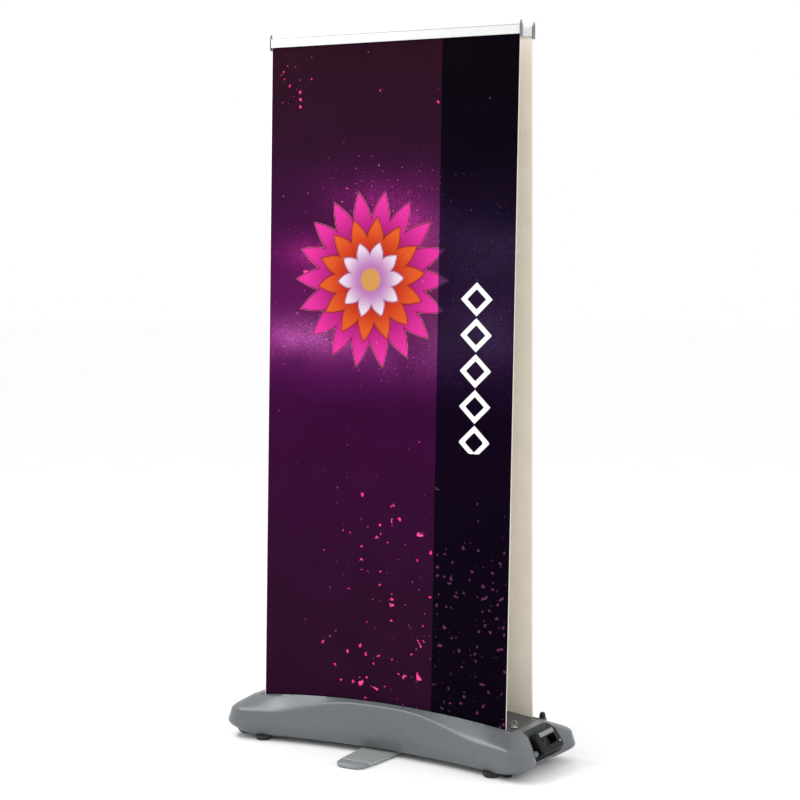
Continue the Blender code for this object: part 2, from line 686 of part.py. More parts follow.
def build_pole():
    """The socket in the tray, three sliding tubes, two twist-lock collars and the head."""
    floor = TROUGH_Z + 0.0005 + TRAY_WALL + CLEARANCE
    socket_bore = POLE_LOWER[0] + 0.0005
    turned("pole_socket",
           [(0, POLE_LOWER[2] - CLEARANCE), (socket_bore, POLE_LOWER[2] - CLEARANCE),
            (socket_bore, 0.1500), (0.0200, 0.1500), (0.0200, floor + 0.006),
            (0.0320, floor + 0.004), (0.0320, floor), (0, floor)],
           (0, 0, 0), "dark_plastic")
    tube("pole_lower_tube", POLE_LOWER, "aluminium")
    tube("pole_middle_tube", POLE_MIDDLE, "aluminium")
    tube("pole_upper_tube", POLE_UPPER, "aluminium")
    for name, stage, inner in (("lower", POLE_LOWER, POLE_MIDDLE), ("upper", POLE_MIDDLE, POLE_UPPER)):
        grip = stage[0] + CLEARANCE
        lip = inner[0] + CLEARANCE
        outer = stage[0] + 0.0065
        top = stage[3] + 0.012
        low = top - COLLAR_HEIGHT
        turned(f"pole_collar_{name}",
               [(outer - 0.002, top), (outer, top - 0.002), (outer, low + 0.002),
                (outer - 0.002, low), (grip, low), (grip, stage[3] + CLEARANCE),
                (lip, stage[3] + CLEARANCE), (lip, top)],
               (0, 0, 0), "dark_plastic", closed=True)
    build_pole_head()


def build_pole_head():
    """A socket on the top tube with a cross bar whose two tabs carry the rail hooks."""
    top = POLE_UPPER[3] + CLEARANCE
    bar = [(-0.0245, 2.1190), (0.0245, 2.1190), (0.0245, 2.1400), (0.0200, 2.1400),
           (0.0200, 2.1250), (-0.0200, 2.1250), (-0.0200, 2.1400), (-0.0245, 2.1400)]
    head = outline_solid("pole_head", [bar], "YZ", -0.018, 0.018, "dark_plastic")
    boolean(head, rod("head_socket", (0, 0, 2.0850), (0, 0, 2.1210), 0.0170, sides=32), "UNION")
    boolean(head, rod("head_bore", (0, 0, 2.0), (0, 0, top), POLE_UPPER[0] + CLEARANCE, sides=32))


def rail_profiles(side):
    """Outlines in YZ of one rail's body and of its hinged jaw; side is -1 in front, 1 behind."""
    top = RAIL_Z + RAIL_HEIGHT
    body = [(0.0300, RAIL_Z), (0.0380, RAIL_Z), (0.0385, RAIL_Z + 0.0010), (0.0385, top - 0.0016),
            (0.0458, top - 0.0016), (0.0460, top - 0.0004), (0.0455, top), (0.0320, top),
            (0.0300, top - 0.0020)]
    jaw_radius = 0.0029
    jaw_centre = (0.0431, top - 0.0020 - jaw_radius)
    jaw = arc(jaw_centre, jaw_radius, 0, 180, 8)
    jaw += [(jaw_centre[0] - jaw_radius, RAIL_Z + 0.0012), (jaw_centre[0] - jaw_radius + 0.001, RAIL_Z),
            (jaw_centre[0] + jaw_radius - 0.001, RAIL_Z), (jaw_centre[0] + jaw_radius, RAIL_Z + 0.0012)]
    return [[(side * y, z) for y, z in outline] for outline in (body, jaw)], jaw_centre


def cap_outline(side):
    """The fin-shaped end cap of a rail, in YZ."""
    low = RAIL_Z - 0.0090
    high = low + RAIL_CAP_HEIGHT
    points = [(0.0305, low + 0.010), (0.0335, low + 0.003), (0.0370, low), (0.0435, low),
              (0.0464, low + 0.0025), (0.0472, low + 0.008), (0.0472, high - 0.016),
              (0.0455, high - 0.007), (0.0425, high), (0.0395, high), (0.0375, high - 0.006),
              (0.0305, high - 0.014)]
    return [(side * y, z) for y, z in points]


def build_rails():
    """Two clamp rails: body, hinged jaw, an end cap at each end and a hook in the middle."""
    half = BANNER_WIDTH / 2
    for side, name in ((-1, "front"), (1, "rear")):
        (body, jaw), (jaw_y, jaw_z) = rail_profiles(side)
        outline_solid(f"top_rail_{name}", [body], "YZ", -half, half, "white_coat")
        outline_solid(f"rail_jaw_{name}", [jaw], "YZ", -half, half, "white_coat",
                      origin=(0, side * jaw_y, jaw_z))
        for end, left_right in ((-1, "left"), (1, "right")):
            near = end * (half + CLEARANCE)
            far = end * (half + RAIL_CAP_THICKNESS)
            outline_solid(f"rail_cap_{name}_{left_right}", [cap_outline(side)], "YZ",
                          min(near, far), max(near, far), "cap_plastic", bevel=0.0012)
        hook = [(0.0297, 2.1300), (0.0297, 2.1560), (0.0130, 2.1560), (0.0130, 2.1360),
                (0.0190, 2.1360), (0.0190, 2.1500), (0.0255, 2.1500), (0.0255, 2.1300)]
        outline_solid(f"rail_hook_{name}", [[(side * y, z) for y, z in hook]], "YZ",
                      -0.016, 0.016, "dark_plastic")


def banner_y(z):
    """Half spacing of the banners at a height."""
    slope = (BANNER_FOOT_Y - BANNER_TOP_Y) / (RAIL_Z - BANNER_FOOT_Z)
    return BANNER_TOP_Y + slope * (RAIL_Z - z)


def build_banners():
    """Plain sheets from the rollers to the rails."""
    low = ROLLER_Z + 0.004
    high = RAIL_Z + 0.020
    half = BANNER_THICKNESS / 2
    for side, name in ((-1, "front"), (1, "rear")):
        sheet = [(banner_y(low) - half, low), (banner_y(low) + half, low),
                 (BANNER_TOP_Y + half, RAIL_Z), (BANNER_TOP_Y + half, high),
                 (BANNER_TOP_Y - half, high), (BANNER_TOP_Y - half, RAIL_Z)]
        outline_solid(f"banner_{name}", [[(side * y, z) for y, z in sheet]], "YZ",
                      -BANNER_WIDTH / 2, BANNER_WIDTH / 2, "banner_film")


build_tank()
build_feet()
build_wheels()
build_handle()
build_stabiliser()
build_filler()
build_tray()
build_cover()
build_locks()
build_rollers()
build_pole()
build_rails()
build_banners()
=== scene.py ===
"""Looks of the double-sided roll-up banner stand: moulded base, clamp rails, telescopic pole
and two printed films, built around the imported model. Metres, the base along X, front at -Y."""

import json
import math

import bmesh
import bpy
import numpy as np
from mathutils import Matrix, Vector, noise


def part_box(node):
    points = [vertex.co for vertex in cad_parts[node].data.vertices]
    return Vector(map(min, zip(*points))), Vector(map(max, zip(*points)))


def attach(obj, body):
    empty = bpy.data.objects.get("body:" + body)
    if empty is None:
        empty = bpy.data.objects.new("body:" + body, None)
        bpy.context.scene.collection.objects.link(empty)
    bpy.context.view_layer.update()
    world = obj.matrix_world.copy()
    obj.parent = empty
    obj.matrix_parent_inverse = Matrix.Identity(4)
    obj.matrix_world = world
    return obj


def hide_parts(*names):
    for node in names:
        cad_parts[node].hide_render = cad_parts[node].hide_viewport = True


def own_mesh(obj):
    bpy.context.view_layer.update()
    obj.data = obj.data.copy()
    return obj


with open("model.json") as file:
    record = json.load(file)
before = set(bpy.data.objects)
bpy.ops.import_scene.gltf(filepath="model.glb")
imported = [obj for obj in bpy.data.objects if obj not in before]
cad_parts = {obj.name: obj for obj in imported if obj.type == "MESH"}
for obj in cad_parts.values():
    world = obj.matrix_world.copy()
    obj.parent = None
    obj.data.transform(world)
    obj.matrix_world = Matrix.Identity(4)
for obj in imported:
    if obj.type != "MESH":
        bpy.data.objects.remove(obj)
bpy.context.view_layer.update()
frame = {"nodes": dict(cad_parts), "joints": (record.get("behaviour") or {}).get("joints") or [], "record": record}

NODES = frame["nodes"]
BODY_OF = {
    member: body
    for body, members in frame["record"]["behaviour"]["bodies"].items()
    for member in members
}

JOINTS = {joint["name"]: joint for joint in frame["joints"]}
HANDLE_PIVOT = JOINTS["handle_fold"]["pos_m"]
PIN_HALF = 0.0785  # the handle's pin stops inside its two bosses

# Heights and spacings shared by several pieces
RAIL_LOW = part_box("top_rail_front")[0].z
FILM_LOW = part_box("banner_front")[0].z
FILM_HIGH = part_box("banner_front")[1].z
FILM_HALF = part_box("banner_front")[1].x
FILM_TOP_Y = 0.0393
FILM_FOOT_Y = 0.0869
FILM_FOOT_Z = 0.130
FILM_THICKNESS = 0.0005
WHEEL_CENTRE_Z = 0.0265


# ---------------------------------------------------------------- camera, light and floor

def set_camera():
    lens = bpy.data.cameras.new("camera")
    lens.lens = 84.66
    lens.shift_y = 0.0375
    camera = bpy.data.objects.new("camera", lens)
    camera.location = (2.8805, -4.8642, 1.5372)
    camera.rotation_euler = (1.4721, -0.0038, 0.5334)
    bpy.context.scene.collection.objects.link(camera)
    bpy.context.scene.camera = camera


def area_light(name, place, target, size, power):
    light = bpy.data.lights.new(name, "AREA")
    light.shape = "RECTANGLE"
    light.size, light.size_y = size
    light.energy = power
    lamp = bpy.data.objects.new(name, light)
    lamp.location = place
    lamp.rotation_euler = (Vector(target) - Vector(place)).to_track_quat("-Z", "Y").to_euler()
    bpy.context.scene.collection.objects.link(lamp)


def set_light():
    """A white room, a long softbox overhead at the left and a broad one at the right."""
    world = bpy.data.worlds.new("white_studio")
    world.use_nodes = True
    world.node_tree.nodes["Background"].inputs["Color"].default_value = (1, 1, 1, 1)
    world.node_tree.nodes["Background"].inputs["Strength"].default_value = 1.0
    bpy.context.scene.world = world
    bpy.context.scene.view_settings.view_transform = "Standard"
    area_light("overhead_box", (-2.1, -1.1, 3.6), (0, -0.1, 0.1), (3.2, 0.7), 78)
    area_light("right_box", (3.6, 0.4, 2.4), (0, 0.05, 1.0), (2.4, 2.8), 26)


# ---------------------------------------------------------------- materials

def srgb(colour):
    return np.array([int(colour[i : i + 2], 16) / 255 for i in (1, 3, 5)])


def unbent(values):
    """sRGB values as linear light."""
    return np.where(values <= 0.04045, values / 12.92, ((values + 0.055) / 1.055) ** 2.4)


def linear(colour):
    """sRGB hex to the linear colour a shader takes."""
    return [*unbent(srgb(colour)), 1.0]


def add(tree, kind, inputs=None, **settings):
    """Add a shader node with its settings, and its inputs as values or links."""
    made = tree.nodes.new("ShaderNode" + kind)
    for key, value in settings.items():
        setattr(made, key, value)
    for key, value in (inputs or {}).items():
        if isinstance(value, bpy.types.NodeSocket):
            tree.links.new(value, made.inputs[key])
        else:
            made.inputs[key].default_value = value
    return made


def finish_of(name, roughness, metallic=0.0, **sockets):
    """A new material and its tree, with the shader's uniform values set on its own sockets."""
    made = bpy.data.materials.new(name)
    made.use_nodes = True
    tree = made.node_tree
    shader = tree.nodes["Principled BSDF"]
    shader.inputs["Roughness"].default_value = roughness
    shader.inputs["Metallic"].default_value = metallic
    for key, value in sockets.items():
        shader.inputs[key.replace("_", " ")].default_value = value
    return made, tree, shader


def mottled(name, dark, light, mottle_mm, grain_mm, roughness, spread=0.06, bump=0.0002,
            metallic=0.0, stretch=(1, 1, 1), **sockets):
    """A surface whose colour drifts over mottle_mm and whose skin has a grain of grain_mm."""
    made, tree, shader = finish_of(name, roughness, metallic, **sockets)
    where = add(tree, "TexCoord").outputs["Object"]
    if stretch != (1, 1, 1):
        where = add(tree, "Mapping", {"Vector": where, "Scale": stretch}).outputs[0]
    drift = add(tree, "TexNoise", {"Vector": where, "Scale": 1000 / mottle_mm, "Detail": 5.0,
                                   "Roughness": 0.62})
    grain = add(tree, "TexNoise", {"Vector": where, "Scale": 1000 / grain_mm, "Detail": 3.0,
                                   "Roughness": 0.6})
    both = add(tree, "Math", {0: drift.outputs["Fac"], 1: 0.65, 2: 0.0}, operation="MULTIPLY_ADD")
    tree.links.new(add(tree, "Math", {0: grain.outputs["Fac"], 1: 0.35},
                       operation="MULTIPLY").outputs[0], both.inputs[2])
    ramp = add(tree, "ValToRGB", {"Fac": both.outputs[0]})
    ramp.color_ramp.elements[0].position = 0.36
    ramp.color_ramp.elements[0].color = linear(dark)
    ramp.color_ramp.elements[1].position = 0.64
    ramp.color_ramp.elements[1].color = linear(light)
    rough = add(tree, "MapRange", {"Value": grain.outputs["Fac"], "From Min": 0.3, "From Max": 0.7,
                                   "To Min": roughness - spread, "To Max": roughness + spread})
    raised = add(tree, "Bump", {"Height": grain.outputs["Fac"], "Distance": bump, "Strength": 0.6})
    tree.links.new(ramp.outputs["Color"], shader.inputs["Base Color"])
    tree.links.new(rough.outputs[0], shader.inputs["Roughness"])
    tree.links.new(raised.outputs["Normal"], shader.inputs["Normal"])
    return made


FINISHES = {
    # Rotationally moulded polyethylene: a waxy grey skin, faintly cloudy, with a fine stipple.
    "grey_plastic": mottled("rotomoulded_polyethylene", "#5b5f63", "#62666a", 14, 1.5, 0.32,
                            spread=0.04, bump=0.00010),
    # The same polyethylene pressed as a flat cover, and drier. Its colour is painted shade: darker than the base
    # for the shade that falls between the two films.
    "shaded_cover_plastic": mottled("pressed_polyethylene_painted_shade", "#474848", "#4f5050", 14, 1.5, 0.46,
                             spread=0.05, bump=0.00010, Specular_IOR_Level=0.3),
    # Glass-filled nylon from a spark-eroded mould: near black, with a dry satin grain.
    "dark_plastic": mottled("glass_filled_nylon", "#111112", "#1a1a1b", 9, 0.7, 0.40,
                            bump=0.00012, Specular_IOR_Level=0.30),
    # The same nylon on the handle, blacker and drier from a finer mould grain.
    "handle_plastic": mottled("glass_filled_nylon_black", "#070707", "#0d0d0e", 7, 0.6, 0.40,
                              bump=0.00010, Specular_IOR_Level=0.13),
    # Moulded rubber: matt, with a greyish bloom in patches.
    "rubber": mottled("moulded_rubber", "#19191a", "#2a2a2a", 12, 1.0, 0.78, bump=0.0002),
    # Soft thermoplastic overmoulded on the handle: mid grey and dry.
    "insert_plastic": mottled("thermoplastic_elastomer", "#7a7c79", "#878986", 6, 0.6, 0.6),
    # Extruded anodised aluminium: fine die lines along the length, a soft bright sheen.
    "aluminium": mottled("anodised_aluminium", "#b9bcbe", "#d3d6d8", 1.2, 0.5, 0.34,
                         metallic=1.0, bump=0.00003, stretch=(0.01, 1, 1)),
    # The same tube stood upright, so its die lines run along Z.
    "aluminium_pole": mottled("anodised_aluminium_upright", "#b9bcbe", "#d3d6d8", 1.2, 0.5, 0.30,
                              metallic=1.0, bump=0.00003, stretch=(1, 1, 0.01)),
    # Zinc-plated steel: bluish bright, with a faint crystalline drift.
    "steel": mottled("zinc_plated_steel", "#a2a6aa", "#c3c6c9", 4, 0.8, 0.30, metallic=1.0,
                     bump=0.00003),
    # White powder coat on an extrusion: glossy, with a slight orange peel.
    "white_coat": mottled("white_powder_coat", "#d9dbdb", "#e2e4e3", 60, 1.6, 0.30,
                          spread=0.04, bump=0.00006),
    # Injection-moulded ABS, blue grey, satin.
    "cap_plastic": mottled("moulded_abs_grey", "#62676f", "#72777f", 14, 0.7, 0.40),
    # Injection-moulded ABS on the bar's noses: a paler blue grey.
    "nose_plastic": mottled("moulded_abs_pale_grey", "#7f838a", "#8b8f96", 14, 0.7, 0.40),
    # Silver-grey powder coat on steel: a fine metallic flake over a green grey ground.
    "stabiliser_coat": mottled("silver_powder_coat", "#979d99", "#aeb4b0", 3, 0.7, 0.36,
                               metallic=0.25, bump=0.00008),
}


# ---------------------------------------------------------------- making pieces

def sharpen(mesh, angle=35):
    mesh.shade_smooth()
    mesh.set_sharp_from_angle(angle=math.radians(angle))


def middle_of(name):
    low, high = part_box(name)
    return (low + high) / 2


def placed(name, bm):
    """A bmesh as an object in the scene."""
    mesh = bpy.data.meshes.new(name)
    bm.to_mesh(mesh)
    bm.free()
    made = bpy.data.objects.new(name, mesh)
    bpy.context.scene.collection.objects.link(made)
    return made


def settle(name, bm, node, kind, stands_in=True, angle=35):
    """Turn a bmesh into a finished piece riding on a CAD node's body, standing for the node."""
    bmesh.ops.remove_doubles(bm, verts=bm.verts, dist=0.000002)
    bmesh.ops.recalc_face_normals(bm, faces=bm.faces)
    made = placed(name, bm)
    sharpen(made.data, angle)
    made.data.materials.append(FINISHES[kind])
    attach(made, BODY_OF[node])
    if stands_in:
        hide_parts(node)
    return made


def softened(points, radius, closed=True, steps=3):
    """A path with each corner turned in a short curve that starts radius away from it."""
    path = []
    count = len(points)
    for i, corner in enumerate(points):
        here = Vector(corner)
        if not closed and i in (0, count - 1):
            path.append(tuple(here))
            continue
        before, after = Vector(points[i - 1]), Vector(points[(i + 1) % count])
        start = here + (before - here) * min(radius / (before - here).length, 0.45)
        stop = here + (after - here) * min(radius / (after - here).length, 0.45)
        for k in range(steps + 1):
            share = k / steps
            path.append(tuple(start.lerp(here, share).lerp(here.lerp(stop, share), share)))
    return path


def lathe(profile, centre=(0, 0, 0), axis="Z", steps=64, closed=False):
    """A bmesh turned from a path of (radius, height) round an axis through centre."""
    bm = bmesh.new()
    verts = [bm.verts.new((radius, 0, height)) for radius, height in profile]
    edges = [bm.edges.new(pair) for pair in zip(verts, verts[1:])]
    if closed:
        edges.append(bm.edges.new((verts[-1], verts[0])))
    bmesh.ops.spin(bm, geom=verts + edges, cent=(0, 0, 0), axis=(0, 0, 1), angle=2 * math.pi,
                   steps=steps, use_merge=True)
    bmesh.ops.remove_doubles(bm, verts=bm.verts, dist=0.00001)
    turn = {"Z": Matrix(), "X": Matrix.Rotation(math.pi / 2, 4, "Y"),
            "Y": Matrix.Rotation(-math.pi / 2, 4, "X")}[axis]
    bmesh.ops.transform(bm, matrix=Matrix.Translation(centre) @ turn, verts=bm.verts)
    return bm


def peg(radius, top, foot, *place, **settings):
    """A plain turned cylinder between two heights, as lathe() places it."""
    return lathe([(0, top), (radius, top), (radius, foot), (0, foot)], *place, **settings)


PLANES = {
    "YZ": Matrix(((0, 0, 1, 0), (1, 0, 0, 0), (0, 1, 0, 0), (0, 0, 0, 1))),
    "XZ": Matrix(((1, 0, 0, 0), (0, 0, -1, 0), (0, 1, 0, 0), (0, 0, 0, 1))),
    "XY": Matrix(),
}


def prism(outline, start, end, plane, bevel=0.0, segments=2, sharp=0.9):
    """A bmesh of an outline in a plane, pushed from start to end across it."""
    bm = bmesh.new()
    face = bm.faces.new([bm.verts.new((u, v, start)) for u, v in outline])
    pushed = bmesh.ops.extrude_face_region(bm, geom=[face])["geom"]
    moved = [v for v in pushed if isinstance(v, bmesh.types.BMVert)]
    bmesh.ops.translate(bm, vec=(0, 0, end - start), verts=moved)
    bmesh.ops.recalc_face_normals(bm, faces=bm.faces)
    if bevel:
        rims = [e for e in bm.edges if e.calc_face_angle(0) > sharp]
        bmesh.ops.bevel(bm, geom=rims, offset=bevel, segments=segments, profile=0.5,
                        affect="EDGES", material=-1, clamp_overlap=True)
    bmesh.ops.transform(bm, matrix=PLANES[plane], verts=bm.verts)
    return bm


def block(low, high, bevel=0.0, segments=2):
    """A bmesh box between two corners."""
    bm = bmesh.new()
    size = [b - a for a, b in zip(low, high)]
    middle = [(a + b) / 2 for a, b in zip(low, high)]
    bmesh.ops.create_cube(bm, size=1,
                          matrix=Matrix.Translation(middle) @ Matrix.Diagonal((*size, 1)))
    if bevel:
        bmesh.ops.bevel(bm, geom=bm.edges[:], offset=bevel, segments=segments, profile=0.5,
                        affect="EDGES", material=-1)
    return bm


def carve(made, cutters):
    """Cut (bmesh, operation) solids into a piece and keep the resulting mesh."""
    helpers = []
    for bm, operation in cutters:
        bmesh.ops.recalc_face_normals(bm, faces=bm.faces)
        helper = placed("cutter", bm)
        helpers.append(helper)
        modifier = made.modifiers.new("carve", "BOOLEAN")
        modifier.operation = operation
        modifier.solver = "EXACT"
        modifier.object = helper
    bpy.context.view_layer.update()
    graph = bpy.context.evaluated_depsgraph_get()
    carved = bpy.data.meshes.new_from_object(made.evaluated_get(graph))
    made.modifiers.clear()
    made.data = carved
    sharpen(carved)
    for helper in helpers:
        bpy.data.objects.remove(helper, do_unlink=True)
    return made


def ease_edges(made, width, segments=2, angle=40):
    """A small live bevel on the edges that turn by more than angle."""
    bevel = made.modifiers.new("eased", "BEVEL")
    bevel.width = width
    bevel.segments = segments
    bevel.limit_method = "ANGLE"
    bevel.angle_limit = math.radians(angle)


def arc(centre, radius, start, end, steps):
    """Points along an arc, angles in degrees."""
    turns = [math.radians(start + (end - start) * i / steps) for i in range(steps + 1)]
    return [(centre[0] + radius * math.cos(a), centre[1] + radius * math.sin(a)) for a in turns]


# ---------------------------------------------------------------- the moulded base

# Outline rings as in the model: half length, waist half depth, corner radius, dent in the
# handle end, extra length at the handle end
FOOT_RING = (0.492, 0.102, 0.056, 0.010, 0.000)
CREASE_RING = (0.526, 0.1125, 0.060, 0.018, 0.004)
BELLY_RING = (0.533, 0.118, 0.062, 0.022, 0.013)
RIDGE_RING = (0.518, 0.112, 0.054, 0.022, 0.013)
LIP_RING = (0.477, 0.092, 0.024, 0.008, 0.004)
WAIST_FLARE = 0.28
DENT_START = 0.55
FOOT_Z, CREASE_Z, BELLY_Z = 0.016, 0.038, 0.049


def smooth_step(start, end, value):
    share = min(max((value - start) / (end - start), 0), 1)
    return share * share * (3 - 2 * share)


def crown(x):
    return 0.157 - 0.148 * x * x


def ridge(x):
    return 0.147 - 0.052 * smooth_step(0.08, 0.38, abs(x))


def half_outline(ring, dent, flare, sides=110, corner=16, end=28):
    """The front side, the right end and its corners of one ring."""
    half_length, waist, radius = ring[:3]
    straight = half_length - radius
    depth = waist + flare * straight * straight
    half = []
    for i in range(sides + 1):
        x = -straight + 2 * straight * i / sides
        half.append((x, -waist - flare * x * x))
    half += arc((straight, radius - depth), radius, -90, 0, corner)[1:]
    for i in range(1, end):
        share = 2 * i / end - 1
        bend = 1 - smooth_step(DENT_START, 1.0, abs(share))
        half.append((half_length - dent * bend, (depth - radius) * share))
    half += arc((straight, depth - radius), radius, 0, 90, corner)[:-1]
    return half


def loop_points(ring, height, flare=WAIST_FLARE):
    outline = [(x + ring[4] * smooth_step(0.40, 0.50, x) * smooth_step(-0.20, 0.12, y), y)
               for x, y in half_outline(ring, ring[3], flare)]
    outline += [(-x, -y) for x, y in half_outline(ring, 0.0, flare)]
    return [Vector((x, y, height(x) if callable(height) else height)) for x, y in outline]


def between(first, second, share):
    return [a.lerp(b, share) for a, b in zip(first, second)]


def rounded(first, corner, last, near, far, steps):
    """Loops that round the corner loop, between two shares of the way to its neighbours."""
    start, stop = between(corner, first, near), between(corner, last, far)
    return [between(between(start, corner, i / steps), between(corner, stop, i / steps), i / steps)
            for i in range(steps + 1)]


def grow(bm, loops):
    """A skin through the loops: a first rim, then one rim extruded and placed for each loop."""
    rim = bmesh.ops.create_circle(bm, cap_ends=True, segments=len(loops[0]), radius=1)["verts"]
    for vert, place in zip(rim, loops[0]):
        vert.co = place
    for loop in loops[1:]:
        edges = [bm.edges.get(pair) for pair in zip(rim, rim[1:] + rim[:1])]
        made = set(bmesh.ops.extrude_edge_only(bm, edges=edges)["geom"])
        rim = [next(e.other_vert(v) for e in v.link_edges if e.other_vert(v) in made) for v in rim]
        for vert, place in zip(rim, loop):
            vert.co = place
    bmesh.ops.contextual_create(bm, geom=[bm.edges.get(p) for p in zip(rim, rim[1:] + rim[:1])])


def base_loops():
    foot = loop_points(FOOT_RING, FOOT_Z)
    crease = loop_points(CREASE_RING, CREASE_Z)
    belly = loop_points(BELLY_RING, BELLY_Z)
    edge = loop_points(RIDGE_RING, ridge)
    lip = loop_points(LIP_RING, crown, 0.0)
    under = [Vector((p.x * 0.90, p.y * 0.85, FOOT_Z)) for p in foot]
    loops = [under]
    loops += rounded(under, foot, crease, 0.35, 0.25, 7)
    loops += rounded(foot, crease, belly, 0.15, 0.30, 5)
    loops += rounded(crease, belly, edge, 0.50, 0.18, 8)
    loops += [between(belly, edge, share) for share in (0.30, 0.42, 0.54, 0.66)]
    loops += rounded(belly, edge, lip, 0.17, 0.30, 12)
    loops += [between(edge, lip, share) for share in (0.40, 0.54, 0.70, 0.85)]
    loops.append(lip)
    for share in (0.95, 0.80, 0.6):
        loops.append([Vector((p.x * share, p.y * share * share, crown(p.x * share))) for p in lip])
    return loops


def knuckle(side):
    """A round boss beside the pocket that takes one end of the handle's pin."""
    profile = [(0, 0.0768), (0.0090, 0.0768), (0.0090, 0.0900), (0.0075, 0.0950),
               (0.0040, 0.0970), (0, 0.0974)]
    return lathe([(radius, side * y) for radius, y in softened(profile, 0.0015, closed=False)],
                 HANDLE_PIVOT, axis="Y", steps=48)


def build_base():
    """The moulded shell with its trough, handle pocket, wheel wells, neck and stud bosses."""
    bm = bmesh.new()
    grow(bm, base_loops())
    shell = settle("moulded_base", bm, "base_tank", "grey_plastic")
    neck = middle_of("fill_cap") * Vector((1, 1, 0))
    wheel_x = middle_of("wheel_front").x
    far = 0.7
    cutters = [
        (lathe([(0, 0.1235), (0.0115, 0.1235), (0.0125, 0.1225), (0.0128, 0.100), (0.0165, 0.090),
                (0, 0.090)], neck, steps=48), "UNION"),
        (peg(0.0062, 0.2, 0.080, neck, steps=48), "DIFFERENCE"),
        (block((-0.4475, -0.0915, 0.035), (0.4475, 0.0915, far)), "DIFFERENCE"),
        (block((0.468, -0.0765, 0.040), (far, 0.0765, far), bevel=0.012, segments=6),
         "DIFFERENCE"),
        (peg(0.0063, 0.0295, -0.1, steps=32), "DIFFERENCE"),
        (knuckle(1), "UNION"),
        (knuckle(-1), "UNION"),
        (peg(0.0043, 0.1195, -0.1195, (wheel_x, 0, WHEEL_CENTRE_Z), axis="Y", steps=24),
         "DIFFERENCE"),
    ]
    for name in ("front", "rear"):
        low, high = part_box(f"wheel_{name}")
        cutters.append((block((wheel_x - 0.0315, low.y - 0.0025, -0.1),
                              (wheel_x + 0.0315, high.y + 0.0025, 0.058)), "DIFFERENCE"))
        middle = middle_of(f"levelling_foot_{name}")
        cutters.append((peg(0.0045, 0.050, -0.1, (middle.x, middle.y, 0), steps=24), "DIFFERENCE"))
    carve(shell, cutters)
    ease_edges(shell, 0.0012, 2)
    return shell


def build_cover():
    """The crowned cover between the film slots, with its pole and lock holes."""
    low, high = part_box("top_cover")
    steps = 96
    upper = [(high.x - (high.x - low.x) * i / steps, crown(high.x - (high.x - low.x) * i / steps))
             for i in range(steps + 1)]
    lower = [(x, z - 0.0035) for x, z in reversed(upper)]
    bm = prism(upper + lower, low.y, high.y, "XZ", bevel=0.0009, segments=3)
    # The cover's finish carries painted shade, darker for the shade between the two films.
    cover = settle("cassette_cover", bm, "top_cover", "shaded_cover_plastic")
    holes = [(peg(0.0215, 0.2, 0.1, steps=64), "DIFFERENCE")]
    for side in ("left", "right"):
        middle = middle_of(f"cover_lock_stud_{side}")
        holes.append((peg(0.0042, 0.2, 0.1, (middle.x, middle.y, 0), steps=32), "DIFFERENCE"))
    carve(cover, holes)
    return cover


# ---------------------------------------------------------------- the printed films

def shades(stops, t):
    """sRGB colours down the film from (depth, hex) stops."""
    depths = [depth for depth, _ in stops]
    channels = np.transpose([srgb(colour) for _, colour in stops])
    return np.stack([np.interp(t, depths, channel) for channel in channels], axis=1)


def blend_in(colours, colour, share):
    return colours * (1 - share[:, None]) + srgb(colour) * share[:, None]


def ramp(low, high, value):
    share = np.clip((value - low) / (high - low), 0, 1)
    return share * share * (3 - 2 * share)


# Plum ground of the print by depth below the rail, in metres
GROUND = [(-0.02, "#2c1020"), (0.12, "#2c1122"), (0.33, "#30112b"), (0.50, "#3d123c"),
          (0.62, "#4a1044"), (0.74, "#591550"), (0.90, "#621a5a"), (1.00, "#4b1048"),
          (1.10, "#3a0a37"), (1.36, "#360d33"), (1.65, "#300f2c"), (2.06, "#2b0f27")]
INK_STRENGTH = 0.80  # the room's light lifts the ink by the rest
# Clouds of powder: place across and down, spread both ways, colour, strength
CLOUDS = [(-0.03, 0.45, 0.20, 0.075, "#6a1a58", 0.75), (0.10, 0.55, 0.09, 0.07, "#a32680", 0.75),
          (-0.26, 0.62, 0.13, 0.05, "#84206a", 0.70), (-0.26, 0.87, 0.20, 0.06, "#9a4a8c", 0.85),
          (-0.04, 0.64, 0.14, 0.08, "#9a2272", 0.60), (0.34, 0.62, 0.20, 0.13, "#8d6d86", 0.55),
          (0.33, 0.86, 0.20, 0.11, "#8e6a7c", 0.55), (0.05, 0.94, 0.20, 0.06, "#6d2a66", 0.5),
          (-0.06, 0.70, 0.20, 0.18, "#7a1d62", 0.5)]
# A plain rosette: petals, reach, half width, turn, colours at the heart, tip and rim
ROSETTE = (-0.060, 0.700)
PETAL_RINGS = [(18, 0.270, 0.036, 0.00, "#8c1460", "#ee3aa6", "#4a0f38"),
               (14, 0.190, 0.032, 0.11, "#b3221b", "#e8642c", "#6a1a1c"),
               (10, 0.118, 0.026, 0.05, "#b878b4", "#efe2ee", "#7a1440")]
HEART_RADIUS = 0.034


def petals(x, t, count, reach, width, turn):
    """How far inside a ring of plain leaf-shaped petals each point is, and how far out."""
    pitch = 2 * math.pi / count
    angle = np.arctan2(t - ROSETTE[1], x - ROSETTE[0]) + turn
    off = (angle + pitch / 2) % pitch - pitch / 2
    radius = np.hypot(x - ROSETTE[0], t - ROSETTE[1])
    out, across = radius * np.cos(off), np.abs(radius * np.sin(off))
    share = np.clip(out / reach, 0, 1)
    inside = width * np.sin(math.pi * share ** 1.3) - across
    return np.where(out > reach, reach - out - across, inside), share


